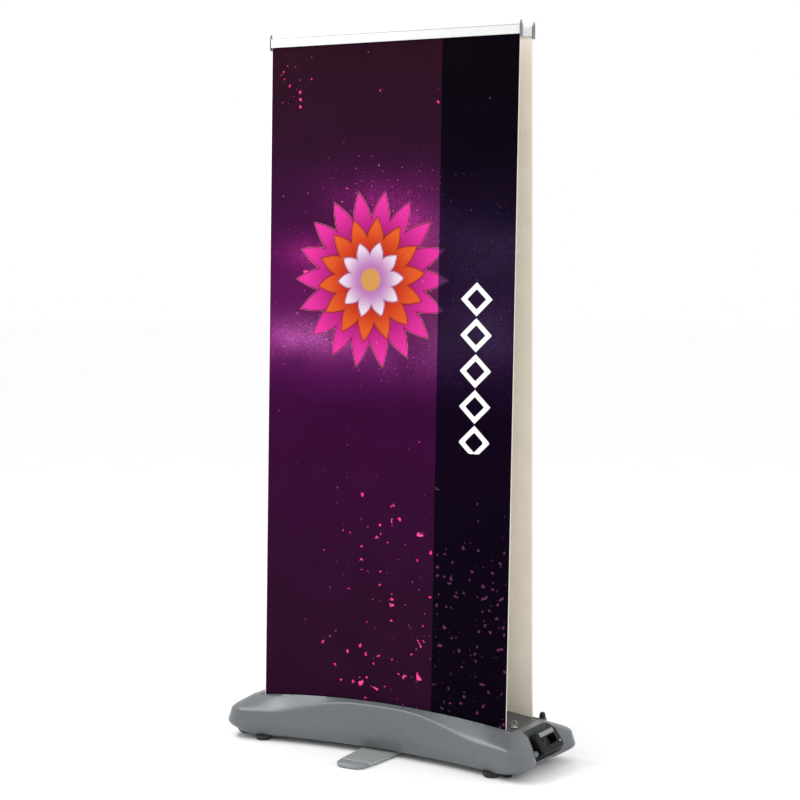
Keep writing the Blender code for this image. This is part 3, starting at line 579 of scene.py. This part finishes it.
def rosette(x, t):
    """Colours of the rosette and how far inside its outline each point is."""
    colours = np.tile(srgb("#d79a55"), (len(x), 1))
    edge = np.full(len(x), -9.0)
    for count, reach, width, turn, heart, tip, rim in PETAL_RINGS:
        inside, share = petals(x, t, count, reach, width, turn)
        tint = blend_in(np.tile(srgb(heart), (len(x), 1)), tip, ramp(0.25, 0.95, share))
        tint = blend_in(tint, rim, 0.8 * ramp(0.006, 0.001, inside))
        over = ramp(-0.0015, 0.0015, inside)[:, None]
        colours = colours * (1 - over) + tint * over
        edge = np.maximum(edge, inside)
    disc = HEART_RADIUS - np.hypot(x - ROSETTE[0], t - ROSETTE[1])
    colours = blend_in(colours, "#d79a55", ramp(-0.0015, 0.0015, disc))
    return colours, np.maximum(edge, disc)


def ornament(x, t):
    """Signed distance to a column of plain white lozenges and bars, positive inside."""
    centre, pitch, first, last = 0.300, 0.104, 0.700, 1.206
    place = (t - first) / pitch
    cell = (place - np.floor(place) - 0.5) * pitch
    lozenge = 0.052 - np.abs(x - centre) - np.abs(cell) * 1.05
    ring = np.minimum(lozenge, 0.021 - lozenge) * 0.70
    column = np.minimum(t - first, last - t)
    return np.where((t > first - 0.01) & (t < last), np.minimum(ring, column + 0.004), -0.02)


def paint_film(mesh, flip):
    """Store the print on the film's points: its ground, rosette, powder, specks and ornament."""
    places = np.empty(len(mesh.vertices) * 3)
    mesh.vertices.foreach_get("co", places)
    places = places.reshape(-1, 3)
    x, t = places[:, 0] * flip, RAIL_LOW - places[:, 2]
    ground = shades(GROUND, t)
    powder = np.zeros(len(x))
    for cx, ct, wide, tall, colour, strength in CLOUDS:
        share = strength * np.exp(-((x - cx) / wide) ** 2 - ((t - ct) / tall) ** 2)
        ground = blend_in(ground, colour, share)
        powder = np.maximum(powder, share)
    drift = np.array([noise.fractal((a * 7, b * 7, 4.0), 0.9, 2.1, 5) for a, b in zip(x, t)])
    ground = np.clip(ground * (1 + 0.3 * drift[:, None] * (0.25 + powder[:, None])), 0, 1)
    figure, edge = rosette(x, t)
    specks = 0.008 + 0.55 * np.exp(-((x + 0.34) / 0.06) ** 2 - ((t - 0.11) / 0.09) ** 2)
    specks += 0.36 * ramp(1.18, 1.55, t) * ramp(-0.36, 0.14, x)
    specks += 0.30 * ramp(0.16, 0.20, x) * ramp(1.35, 1.75, t)
    for name, values in (("ground", ground), ("figure", figure)):
        tinted = mesh.attributes.new(name, "FLOAT_COLOR", "POINT")
        values = unbent(values) * INK_STRENGTH
        tinted.data.foreach_set("color", np.c_[values, np.ones(len(x))].ravel())
    for name, values in (("figure_edge", edge), ("ornament_edge", ornament(x, t)),
                         ("powder", powder), ("specks", specks)):
        mesh.attributes.new(name, "FLOAT", "POINT").data.foreach_set("value", values)


def spaced(spans):
    """Places along a line, count of them evenly over each (start, stop, count) span."""
    places = [start + (stop - start) * i / count for start, stop, count in spans
              for i in range(count)]
    return places + [spans[-1][1]]


def film_rows():
    """Depths of the film's rows, closest together over the rosette."""
    top, low = RAIL_LOW - FILM_HIGH, RAIL_LOW - FILM_LOW
    return spaced([(top, 0.42, 20), (0.42, 0.98, 150), (0.98, 1.23, 42), (1.23, low, 56)])


def film_columns():
    """Places across the film, closest together over the rosette."""
    return spaced([(-FILM_HALF, -0.34, 14), (-0.34, 0.22, 130), (0.22, FILM_HALF, 28)])


def film_y(z):
    """Half spacing of the two films at a height."""
    slope = (FILM_FOOT_Y - FILM_TOP_Y) / (RAIL_LOW - FILM_FOOT_Z)
    return FILM_TOP_Y + slope * max(RAIL_LOW - z, 0)


def printed_face():
    """Eco-solvent print on matt film: deep plum ink under a fine grain of powder and specks."""
    made, tree, shader = finish_of("printed_matt_film", 0.55, Specular_IOR_Level=0.01)
    where = add(tree, "UVMap", uv_map="film").outputs[0]

    def value(name):
        return add(tree, "Attribute", attribute_name=name).outputs["Fac"]

    def colour(name):
        return add(tree, "Attribute", attribute_name=name).outputs["Color"]

    def mix(share, first, second, **settings):
        return add(tree, "Mix", {0: share, 6: first, 7: second}, data_type="RGBA",
                   **settings).outputs[2]

    def sum_of(operation, first, second, third=0.0):
        return add(tree, "Math", {0: first, 1: second, 2: third}, operation=operation).outputs[0]

    def step(amount, low, high):
        return add(tree, "MapRange", {"Value": amount, "From Min": low, "From Max": high},
                   interpolation_type="SMOOTHSTEP").outputs[0]

    powder, specks = value("powder"), value("specks")
    # Ink grain in clumps of about 8 mm, as coarse as it has to be to show
    grain = add(tree, "TexNoise", {"Vector": where, "Scale": 120.0, "Detail": 6.0,
                                   "Roughness": 0.85}).outputs["Fac"]
    lift = add(tree, "MapRange", {"Value": grain, "From Min": 0.36, "From Max": 0.66,
                                  "To Min": 0.2, "To Max": 2.2}).outputs[0]
    grained = mix(1.0, colour("ground"), lift, blend_type="MULTIPLY")
    ink = mix(powder, colour("ground"), grained)

    def scatter(pitch, size, uneven, share, seed):
        """Spots in cells of pitch metres: size is a spot's largest radius in cells."""
        moved = add(tree, "VectorMath", {0: where, 1: (seed, seed * 0.7, 0)}, operation="ADD")
        wander = add(tree, "TexNoise", {"Vector": moved.outputs[0], "Scale": 2.2 / pitch,
                                        "Detail": 2.0})
        bent = add(tree, "VectorMath",
                   {0: wander.outputs["Color"], 1: (pitch * uneven, pitch * uneven, 0),
                    2: moved.outputs[0]}, operation="MULTIPLY_ADD")
        cells = add(tree, "TexVoronoi", {"Vector": bent.outputs[0], "Scale": 1 / pitch},
                    voronoi_dimensions="2D")
        parts = add(tree, "SeparateColor", {"Color": cells.outputs["Color"]})
        chosen = sum_of("LESS_THAN", parts.outputs[0], share)
        radius = sum_of("MULTIPLY", sum_of("POWER", parts.outputs[1], 2.0), size)
        inside = sum_of("SUBTRACT", radius, cells.outputs["Distance"])
        spot = add(tree, "MapRange", {"Value": inside, "From Min": -0.03, "From Max": 0.03})
        return sum_of("MULTIPLY", spot.outputs[0], chosen)

    fine = scatter(0.009, 0.26, 0.5, sum_of("MULTIPLY_ADD", powder, 0.60, 0.004), 3.1)
    dots = scatter(0.022, 0.24, 0.7, specks, 7.7)
    flakes = scatter(0.052, 0.20, 0.9, sum_of("MULTIPLY", specks, 0.85), 1.3)
    ink = mix(sum_of("MULTIPLY", fine, 0.75), ink, linear("#b93a8a"))
    ink = mix(sum_of("MULTIPLY", dots, 0.9), ink, linear("#f03c86"))
    ink = mix(sum_of("MULTIPLY", flakes, 0.95), ink, linear("#f55094"))
    mottle = add(tree, "TexNoise", {"Vector": where, "Scale": 420.0, "Detail": 2.0}).outputs["Fac"]
    mottle = add(tree, "MapRange", {"Value": mottle, "From Min": 0.3, "From Max": 0.7,
                                  "To Min": 0.82, "To Max": 1.18}).outputs[0]
    figure = mix(1.0, colour("figure"), mottle, blend_type="MULTIPLY")
    ink = mix(step(value("figure_edge"), -0.0012, 0.0012), ink, figure)
    pale = scatter(0.026, 0.07, 0.3, sum_of("MULTIPLY", powder, 0.45), 5.9)
    ink = mix(sum_of("MULTIPLY", pale, 0.6), ink, linear("#e6c4e2"))

    across = add(tree, "SeparateXYZ", {"Vector": where}).outputs["X"]
    # A darker translucent panel down the right third, then the ornament over it
    panel = step(across, 0.5968, 0.5976)
    dulled = add(tree, "HueSaturation", {"Saturation": 0.85, "Value": 0.9, "Color": ink})
    shaded = mix(1.0, dulled.outputs[0], linear("#6a7390"), blend_type="MULTIPLY")
    ink = mix(panel, ink, shaded)
    ink = mix(step(value("ornament_edge"), -0.0008, 0.0008), ink, linear("#f4f2f4"))
    # An unprinted margin of 2 mm down each side
    margin = sum_of("MINIMUM", across, sum_of("SUBTRACT", 2 * FILM_HALF, across))
    ink = mix(step(margin, 0.0024, 0.0018), ink, linear("#efe9e2"))
    tree.links.new(ink, shader.inputs["Base Color"])
    weave = add(tree, "TexNoise", {"Vector": where, "Scale": 900.0, "Detail": 2.0})
    raised = add(tree, "Bump", {"Height": weave.outputs["Fac"], "Distance": 0.00005,
                                "Strength": 0.5})
    tree.links.new(raised.outputs["Normal"], shader.inputs["Normal"])
    return made


def film_back():
    """The film's unprinted side: a warm grey blockout coat, paler along its cut edges; its colour is lifted as
    painted light to make up for the shade between the two films.
    """
    made, tree, shader = finish_of("blockout_coat_painted_light", 0.6, Specular_IOR_Level=0.3)
    where = add(tree, "UVMap", uv_map="film").outputs[0]
    drift = add(tree, "TexNoise", {"Vector": where, "Scale": 9.0, "Detail": 3.0})
    coat = add(tree, "ValToRGB", {"Fac": drift.outputs["Fac"]})
    # Painted light: both coat colours are paler than the warm grey coat itself, against the shade between the
    # films.
    coat.color_ramp.elements[0].position = 0.35
    coat.color_ramp.elements[0].color = linear("#eae3d6")
    coat.color_ramp.elements[1].position = 0.65
    coat.color_ramp.elements[1].color = linear("#f1eade")
    across = add(tree, "SeparateXYZ", {"Vector": where}).outputs["X"]
    other = add(tree, "Math", {0: 2 * FILM_HALF, 1: across}, operation="SUBTRACT").outputs[0]
    margin = add(tree, "Math", {0: across, 1: other}, operation="MINIMUM").outputs[0]
    share = add(tree, "MapRange", {"Value": margin, "From Min": 0.006, "From Max": 0.003,
                                   "To Min": 0.0, "To Max": 1.0}).outputs[0]
    pale = add(tree, "Mix", {0: share, 6: coat.outputs["Color"], 7: linear("#fff6e6")},
               data_type="RGBA")
    weave = add(tree, "TexNoise", {"Vector": where, "Scale": 700.0, "Detail": 2.0})
    raised = add(tree, "Bump", {"Height": weave.outputs["Fac"], "Distance": 0.00006,
                                "Strength": 0.5})
    tree.links.new(pale.outputs[2], shader.inputs["Base Color"])
    tree.links.new(raised.outputs["Normal"], shader.inputs["Normal"])
    return made


def build_films():
    """Two films under tension from their rollers to the rails, printed on their outer faces."""
    printed, coat = printed_face(), film_back()
    # The film's own polyester, bare along its cut edges
    core = mottled("film_core", "#ece5da", "#f5efe6", 10, 1.0, 0.6)
    rows, columns = film_rows(), film_columns()
    for side, name in ((-1, "front"), (1, "rear")):
        bm = bmesh.new()
        bmesh.ops.create_grid(bm, x_segments=len(columns) - 1, y_segments=len(rows) - 1, size=1)
        uv = bm.loops.layers.uv.new("film")
        for vert in bm.verts:
            across = -side * columns[round((vert.co.x + 1) / 2 * (len(columns) - 1))]
            t = rows[round((1 - vert.co.y) / 2 * (len(rows) - 1))]
            z = RAIL_LOW - t
            # The tensioned film ripples by half a millimetre, less towards the rail
            ripple = 0.0005 * math.sin(9 * across + 2.1 * z + side) * min(max(t, 0) / 0.3, 1)
            vert.co = (across, side * (film_y(z) + ripple), z)
        for face in bm.faces:
            for corner in face.loops:
                corner[uv].uv = (-side * corner.vert.co.x + FILM_HALF,
                                 corner.vert.co.z)
        bmesh.ops.recalc_face_normals(bm, faces=bm.faces)
        if bm.faces[0].normal.y * side < 0:
            bmesh.ops.reverse_faces(bm, faces=bm.faces)
        film = placed(f"banner_film_{name}", bm)
        film.data.shade_smooth()
        paint_film(film.data, -side)
        for finish in (printed, coat, core):
            film.data.materials.append(finish)
        wall = film.modifiers.new("film_thickness", "SOLIDIFY")
        wall.thickness = FILM_THICKNESS
        wall.offset = -1
        wall.material_offset = 1
        wall.material_offset_rim = 2
        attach(film, BODY_OF[f"banner_{name}"])
        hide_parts(f"banner_{name}")
        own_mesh(film)


# ---------------------------------------------------------------- feet, wheels and stabiliser

def build_feet():
    """Rubber pads with a hollowed sole, and two screw feet with a grip groove."""
    for name in [node for node in NODES if node.startswith("foot_pad")]:
        low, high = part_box(name)
        radius, top = (high.x - low.x) / 2, high.z
        place = middle_of(name)
        sole = [(0, top), (radius, top), (radius, 0.0090), (radius - 0.0012, 0.0060),
                (radius - 0.0030, 0.0012), (radius - 0.0045, 0), (radius - 0.0090, 0),
                (radius - 0.0105, 0.0014), (0, 0.0014)]
        settle("rubber_" + name, lathe(softened(sole, 0.0008, closed=False),
                                       (place.x, place.y, 0)), name, "rubber")
    for name in ("levelling_foot_front", "levelling_foot_rear"):
        place = middle_of(name)
        foot = [(0, 0.044), (0.0036, 0.044), (0.0041, 0.0434), (0.0041, 0.0150), (0.0122, 0.0150),
                (0.0125, 0.0146), (0.0125, 0.0112), (0.0119, 0.0106), (0.0119, 0.0084),
                (0.0125, 0.0078), (0.0125, 0.0020), (0.0117, 0.0008), (0, 0.0008)]
        settle("screw_foot_" + name[15:], lathe(softened(foot, 0.0005, closed=False),
                                                (place.x, place.y, 0), steps=48),
               name, "rubber")


def build_wheels():
    """Hard nylon wheels with a rounded tread, a dished web and five round holes."""
    for name in ("wheel_front", "wheel_rear"):
        low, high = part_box(name)
        place, half, radius = middle_of(name), (high.y - low.y) / 2, (high.z - low.z) / 2
        side = [(0.0043, half), (0.0090, half), (0.0100, half - 0.0040), (0.0200, half - 0.0040),
                (0.0215, half), (radius - 0.003, half), (radius, half - 0.003)]
        profile = softened(side + [(r, -h) for r, h in reversed(side)], 0.0010)
        wheel = settle("transport_" + name, lathe(profile, place, "Y", 72, closed=True),
                       name, "dark_plastic")
        holes = []
        for k in range(5):
            turn = 2 * math.pi * k / 5
            hole = (place.x + 0.015 * math.cos(turn), place.y, place.z + 0.015 * math.sin(turn))
            holes.append((peg(0.0030, 0.02, -0.02, hole, "Y", 24), "DIFFERENCE"))
        carve(wheel, holes)


def build_rods():
    """Turned steel pins and shafts with chamfered ends; the handle's stops in its bosses."""
    for name in ("wheel_axle", "handle_pivot_pin", "roller_shaft_front", "roller_shaft_rear"):
        low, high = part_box(name)
        size = high - low
        axis = "X" if size.x > size.y else "Y"
        half, radius = max(size) / 2, size.z / 2
        half = min(half, PIN_HALF) if name == "handle_pivot_pin" else half
        profile = [(0, half), (radius - 0.0008, half), (radius, half - 0.0008),
                   (radius, 0.0008 - half), (radius - 0.0008, -half), (0, -half)]
        settle("turned_" + name, lathe(profile, middle_of(name), axis, 40), name,
               "steel")


def build_stabiliser():
    """The swing-out bar: a powder-coated plate with rolled edges and two moulded noses."""
    low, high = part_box("stabiliser_bar")
    nose_low, nose_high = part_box("stabiliser_nose_rear")
    steps = 24
    side = [(0.064 - 0.066 * max(high.y * i / steps - 0.02, 0), high.y * i / steps)
            for i in range(1, steps + 1)]
    half = side + [(-x, y) for x, y in reversed(side)]
    outline = half + [(-x, -y) for x, y in half]
    bar = settle("stabiliser_plate", prism(outline, low.z, high.z, "XY", bevel=0.0018, segments=4,
                                           sharp=0.5), "stabiliser_bar", "stabiliser_coat")
    carve(bar, [(peg(0.0066, 0.1, -0.1, steps=40), "DIFFERENCE"),
                (peg(0.0125, low.z + 0.005, -0.1, steps=48), "DIFFERENCE")])
    width, radius = nose_high.x, 0.026
    for sign, name in ((-1, "front"), (1, "rear")):
        nose = [(width, nose_low.y)]
        nose += arc((width - 0.0035 - radius, nose_high.y - radius), radius, 0, 90, 14)
        nose += [(-x, y) for x, y in reversed(nose)]
        nose = [(x * sign, y * sign) for x, y in nose]
        settle("bar_nose_" + name, prism(nose, nose_low.z, nose_high.z, "XY", bevel=0.0042,
                                         segments=5, sharp=0.5), "stabiliser_nose_" + name,
               "nose_plastic")
    settle("pivot_bolt", lathe(softened([(0, 0.0285), (0.0060, 0.0285), (0.0060, 0.0070),
                                         (0.0110, 0.0070), (0.0118, 0.0060), (0.0118, 0.0035),
                                         (0.0105, 0.0028), (0.0040, 0.0028), (0.0030, 0.0050),
                                         (0, 0.0050)], 0.0004, closed=False), steps=48),
           "stabiliser_pivot_bolt", "steel")


# ---------------------------------------------------------------- handle, cap and cover locks

HANDLE_LEAN = math.radians(32)
HANDLE_TOP, HANDLE_FOOT = 0.0525, -0.0155
HANDLE_BACK, HANDLE_FACE = -0.0085, 0.0175


def leaned(bm):
    """Stand a bmesh drawn upright at the handle's pivot in its leaning place."""
    place = Matrix.Translation(HANDLE_PIVOT) @ Matrix.Rotation(-HANDLE_LEAN, 4, "Y")
    bmesh.ops.transform(bm, matrix=place, verts=bm.verts)
    return bm


def build_handle():
    """The folding carry handle: a deep rounded frame with a soft insert and a screw."""
    half, large, small = 0.071, 0.022, 0.0132
    loop = arc((half - large, HANDLE_TOP - large), large, 0, 90, 16)
    loop += arc((large - half, HANDLE_TOP - large), large, 90, 180, 16)
    loop += arc((small - half, HANDLE_FOOT + small), small, 180, 270, 12)
    loop += arc((half - small, HANDLE_FOOT + small), small, 270, 360, 12)
    handle = settle("folding_handle", leaned(prism(loop, HANDLE_BACK, HANDLE_FACE, "YZ",
                                                   bevel=0.0050, segments=6, sharp=0.5)),
                    "carry_handle", "handle_plastic")
    window = []
    for y, z, start in ((0.033, 0.0225, 0), (-0.033, 0.0225, 90), (-0.033, 0.0145, 180),
                        (0.033, 0.0145, 270)):
        window += arc((y, z), 0.009, start, start + 90, 10)
    pin = peg(0.0036, 0.1, -0.1, HANDLE_PIVOT, "Y", 32)
    carve(handle, [(leaned(prism(window, -0.05, 0.05, "YZ")), "DIFFERENCE"),
                   (pin, "DIFFERENCE")])
    ease_edges(handle, 0.0022, 4)
    face = HANDLE_FACE + 0.0003
    insert = prism(softened([(0.044, 0.048), (-0.044, 0.048), (-0.044, 0.035), (0.044, 0.035)],
                            0.0022, steps=6), face, face + 0.0022, "YZ", bevel=0.0008, segments=3)
    settle("grip_insert", leaned(insert), "handle_grip_insert", "insert_plastic")
    screw = lathe([(0, 0.0006), (0.0016, 0.0006), (0.0018, 0.0020), (0.0034, 0.0016),
                   (0.0038, 0.0008), (0.0038, 0), (0, 0)], (0, 0, 0), "X", 32)
    bmesh.ops.translate(screw, vec=(HANDLE_FACE, 0.055, 0.004), verts=screw.verts)
    settle("handle_screw", leaned(screw), "carry_handle", "steel", stands_in=False)


def build_filler():
    """The domed water-filler cap on its stem, with a finger groove and a soft seal."""
    low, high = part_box("fill_cap")
    place, seat = middle_of("fill_cap"), 0.1257
    cap = [(0, high.z), (0.0030, seat + 0.0156), (0.0062, seat + 0.0138),
           (0.0083, seat + 0.0108), (0.0090, seat + 0.0075), (0.0090, seat + 0.0052),
           (0.0085, seat + 0.0046), (0.0085, seat + 0.0036), (0.0090, seat + 0.0030),
           (0.0090, seat + 0.0022), (0.0104, seat + 0.0015), (0.0104, seat),
           (0.0056, seat), (0.0056, low.z), (0, low.z)]
    settle("filler_cap", lathe(softened(cap, 0.0008, closed=False), (place.x, place.y, 0),
                               steps=56), "fill_cap", "dark_plastic",
           angle=50)
    ring = [(0.0083 + 0.0009 * math.cos(a), 0.1247 + 0.0009 * math.sin(a))
            for a in [2 * math.pi * k / 16 for k in range(16)]]
    settle("filler_seal", lathe(ring, (place.x, place.y, 0), steps=56, closed=True),
           "fill_cap_seal", "rubber")


def bent_wire(name, route, radius, node, kind):
    """A round wire along a route, made a closed mesh."""
    path = bpy.data.curves.new(name, "CURVE")
    path.dimensions = "3D"
    path.bevel_depth, path.bevel_resolution, path.use_fill_caps = radius, 4, True
    spline = path.splines.new("POLY")
    spline.points.add(len(route) - 1)
    for point, place in zip(spline.points, route):
        point.co = (*place, 1)
    holder = bpy.data.objects.new(name, path)
    bm = bmesh.new()
    mesh = bpy.data.meshes.new_from_object(holder)
    bm.from_mesh(mesh)
    bpy.data.objects.remove(holder, do_unlink=True)
    bpy.data.meshes.remove(mesh)
    return settle(name, bm, node, kind)


def build_locks():
    """Quarter-turn studs through the cover, each with a folding wire ring."""
    for side in ("left", "right"):
        stud, ring = f"cover_lock_stud_{side}", f"cover_lock_ring_{side}"
        low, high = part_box(stud)
        place = middle_of(stud)
        top = high.z - 0.0062
        profile = [(0, high.z), (0.0040, high.z), (0.0046, top + 0.0056), (0.0046, top + 0.0024),
                   (0.0102, top + 0.0022), (0.0110, top + 0.0014), (0.0110, top), (0.0038, top),
                   (0.0038, low.z), (0, low.z)]
        made = settle("lock_" + side, lathe(softened(profile, 0.0004, closed=False),
                                            (place.x, place.y, 0), steps=48), stud,
                      "steel")
        across = peg(0.0013, 0.02, -0.02, (place.x, place.y, top + 0.0043), "X", 20)
        carve(made, [(across, "DIFFERENCE")])
        route = [(0.0012, 0), (0.0050, 0), (0.0075, 0.0006)]
        route += arc((0, 0.0075), 0.0085, -20, 200, 40)
        route += [(-0.0075, 0.0006), (-0.0050, 0), (-0.0012, 0)]
        bent_wire("lock_loop_" + side, [(place.x + x, place.y, top + 0.0043 + z) for x, z in route],
                  0.0010, ring, "steel")


# ---------------------------------------------------------------- pole and rails

def build_pole():
    """Three drawn tubes, two twist-lock collars with grip grooves, the socket and the head."""
    for name in ("pole_lower_tube", "pole_middle_tube", "pole_upper_tube"):
        low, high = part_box(name)
        radius = high.x
        bore = radius - (0.0015 if "lower" in name else 0.0012)
        profile = [(radius, high.z - 0.0006), (radius, low.z), (bore, low.z),
                   (bore, high.z), (radius - 0.0006, high.z)]
        settle("drawn_" + name, lathe(profile, steps=80, closed=True), name,
               "aluminium_pole")
    for name, grip, lip in (("pole_collar_lower", 0.0163, 0.0143),
                            ("pole_collar_upper", 0.0143, 0.0126)):
        low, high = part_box(name)
        outer, top, foot = high.x, high.z, low.z
        shelf = top - 0.0117
        profile = [(outer - 0.002, top), (outer, top - 0.002)]
        for k in range(7):
            start = top - 0.0055 - 0.005 * k
            profile += [(outer, start), (outer - 0.0008, start - 0.0008),
                        (outer - 0.0008, start - 0.0020), (outer, start - 0.0028)]
        profile += [(outer, foot + 0.002), (outer - 0.002, foot), (grip, foot), (grip, shelf),
                    (lip, shelf), (lip, top)]
        settle("twist_" + name[5:], lathe(softened(profile, 0.0006), steps=72, closed=True),
               name, "dark_plastic")
    low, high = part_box("pole_socket")
    profile = [(0, 0.0422), (0.0165, 0.0422), (0.0165, high.z), (0.0200, high.z),
               (0.0200, low.z + 0.006), (0.0320, low.z + 0.004), (0.0320, low.z), (0, low.z)]
    settle("pole_foot_socket", lathe(softened(profile, 0.0006, closed=False), steps=72),
           "pole_socket", "dark_plastic")
    bar = [(-0.0245, 2.1190), (0.0245, 2.1190), (0.0245, 2.1400), (0.0200, 2.1400),
           (0.0200, 2.1250), (-0.0200, 2.1250), (-0.0200, 2.1400), (-0.0245, 2.1400)]
    head = settle("pole_cross_head", prism(bar, -0.018, 0.018, "YZ", bevel=0.0009, segments=3),
                  "pole_head", "dark_plastic")
    carve(head, [(lathe([(0, 2.1210), (0.0170, 2.1210), (0.0170, 2.0858), (0.0162, 2.0850),
                         (0, 2.0850)], steps=72), "UNION"),
                 (peg(0.0126, 2.1123, 2.0, steps=72), "DIFFERENCE")])


def build_rails():
    """Clamp rails with rolled edges, hinged jaws, finned end caps and moulded hooks."""
    rail_low, rail_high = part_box("top_rail_rear")
    foot, top, end = rail_low.z, rail_high.z, rail_high.x
    body = softened([(0.0300, foot), (0.0380, foot), (0.0385, foot + 0.0010),
                     (0.0385, top - 0.0016), (0.0458, top - 0.0016), (0.0460, top - 0.0004),
                     (0.0455, top), (0.0320, top), (0.0300, top - 0.0020)], 0.0006)
    jaw_y, radius = 0.0431, 0.0029
    jaw_z = top - 0.0020 - radius
    jaw = arc((jaw_y, jaw_z), radius, 0, 180, 20)
    jaw += [(jaw_y - radius, foot + 0.0012), (jaw_y - radius + 0.001, foot),
            (jaw_y + radius - 0.001, foot), (jaw_y + radius, foot + 0.0012)]
    low = foot - 0.0090
    high = low + 0.048
    cap = softened([(0.0305, low + 0.010), (0.0335, low + 0.003), (0.0370, low), (0.0435, low),
                    (0.0464, low + 0.0025), (0.0472, low + 0.008), (0.0472, high - 0.016),
                    (0.0455, high - 0.007), (0.0425, high), (0.0395, high),
                    (0.0375, high - 0.006), (0.0305, high - 0.014)], 0.0008, steps=2)
    hook = [(0.0297, foot), (0.0297, 2.1560), (0.0130, 2.1560), (0.0130, 2.1360),
            (0.0190, 2.1360), (0.0190, 2.1500), (0.0255, 2.1500), (0.0255, foot)]
    for side, name in ((-1, "front"), (1, "rear")):
        def turned(outline):
            return [(side * y, z) for y, z in outline]
        settle("clamp_rail_" + name, prism(turned(body), -end, end, "YZ", bevel=0.0003,
                                           sharp=1.2), "top_rail_" + name,
               "white_coat")
        settle("clamp_jaw_" + name, prism(turned(jaw), -end, end, "YZ", bevel=0.0003, sharp=1.2),
               "rail_jaw_" + name, "white_coat")
        settle("clamp_hook_" + name, prism(turned(hook), -0.016, 0.016, "YZ", bevel=0.0008,
                                           segments=3), "rail_hook_" + name,
               "dark_plastic")
        for left_right in ("left", "right"):
            node = f"rail_cap_{name}_{left_right}"
            cap_low, cap_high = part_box(node)
            settle(f"finned_cap_{name}_{left_right}",
                   prism(turned(cap), cap_low.x, cap_high.x, "YZ", bevel=0.0005, segments=2,
                         sharp=1.2), node, "cap_plastic")


# ---------------------------------------------------------------- everything else

KINDS = {
    "aluminium": ("cassette_tray", "roller_tube"),
    "steel": ("cassette_end_plate", "roller_spring", "stabiliser_washer"),
}


def kind_of(name):
    return next((kind for kind, starts in KINDS.items() if name.startswith(starts)),
                "dark_plastic")


def build_rest():
    """Better finishes for the modelled parts that stay, deep in the cassette."""
    for name, node in NODES.items():
        if not node.hide_render:
            node.material_slots[0].material = FINISHES[kind_of(name)]


def build_floor():
    bm = bmesh.new()
    bmesh.ops.create_circle(bm, cap_ends=True, segments=96, radius=30)
    floor = placed("studio_floor", bm)
    floor.location.z = -0.0005
    floor.data.materials.append(mottled("matt_white_vinyl", "#fbfbfb", "#ffffff", 300, 4, 0.7))


set_camera()
set_light()
build_base()
build_cover()
build_films()
build_feet()
build_wheels()
build_rods()
build_stabiliser()
build_handle()
build_filler()
build_locks()
build_pole()
build_rails()
build_rest()
build_floor()
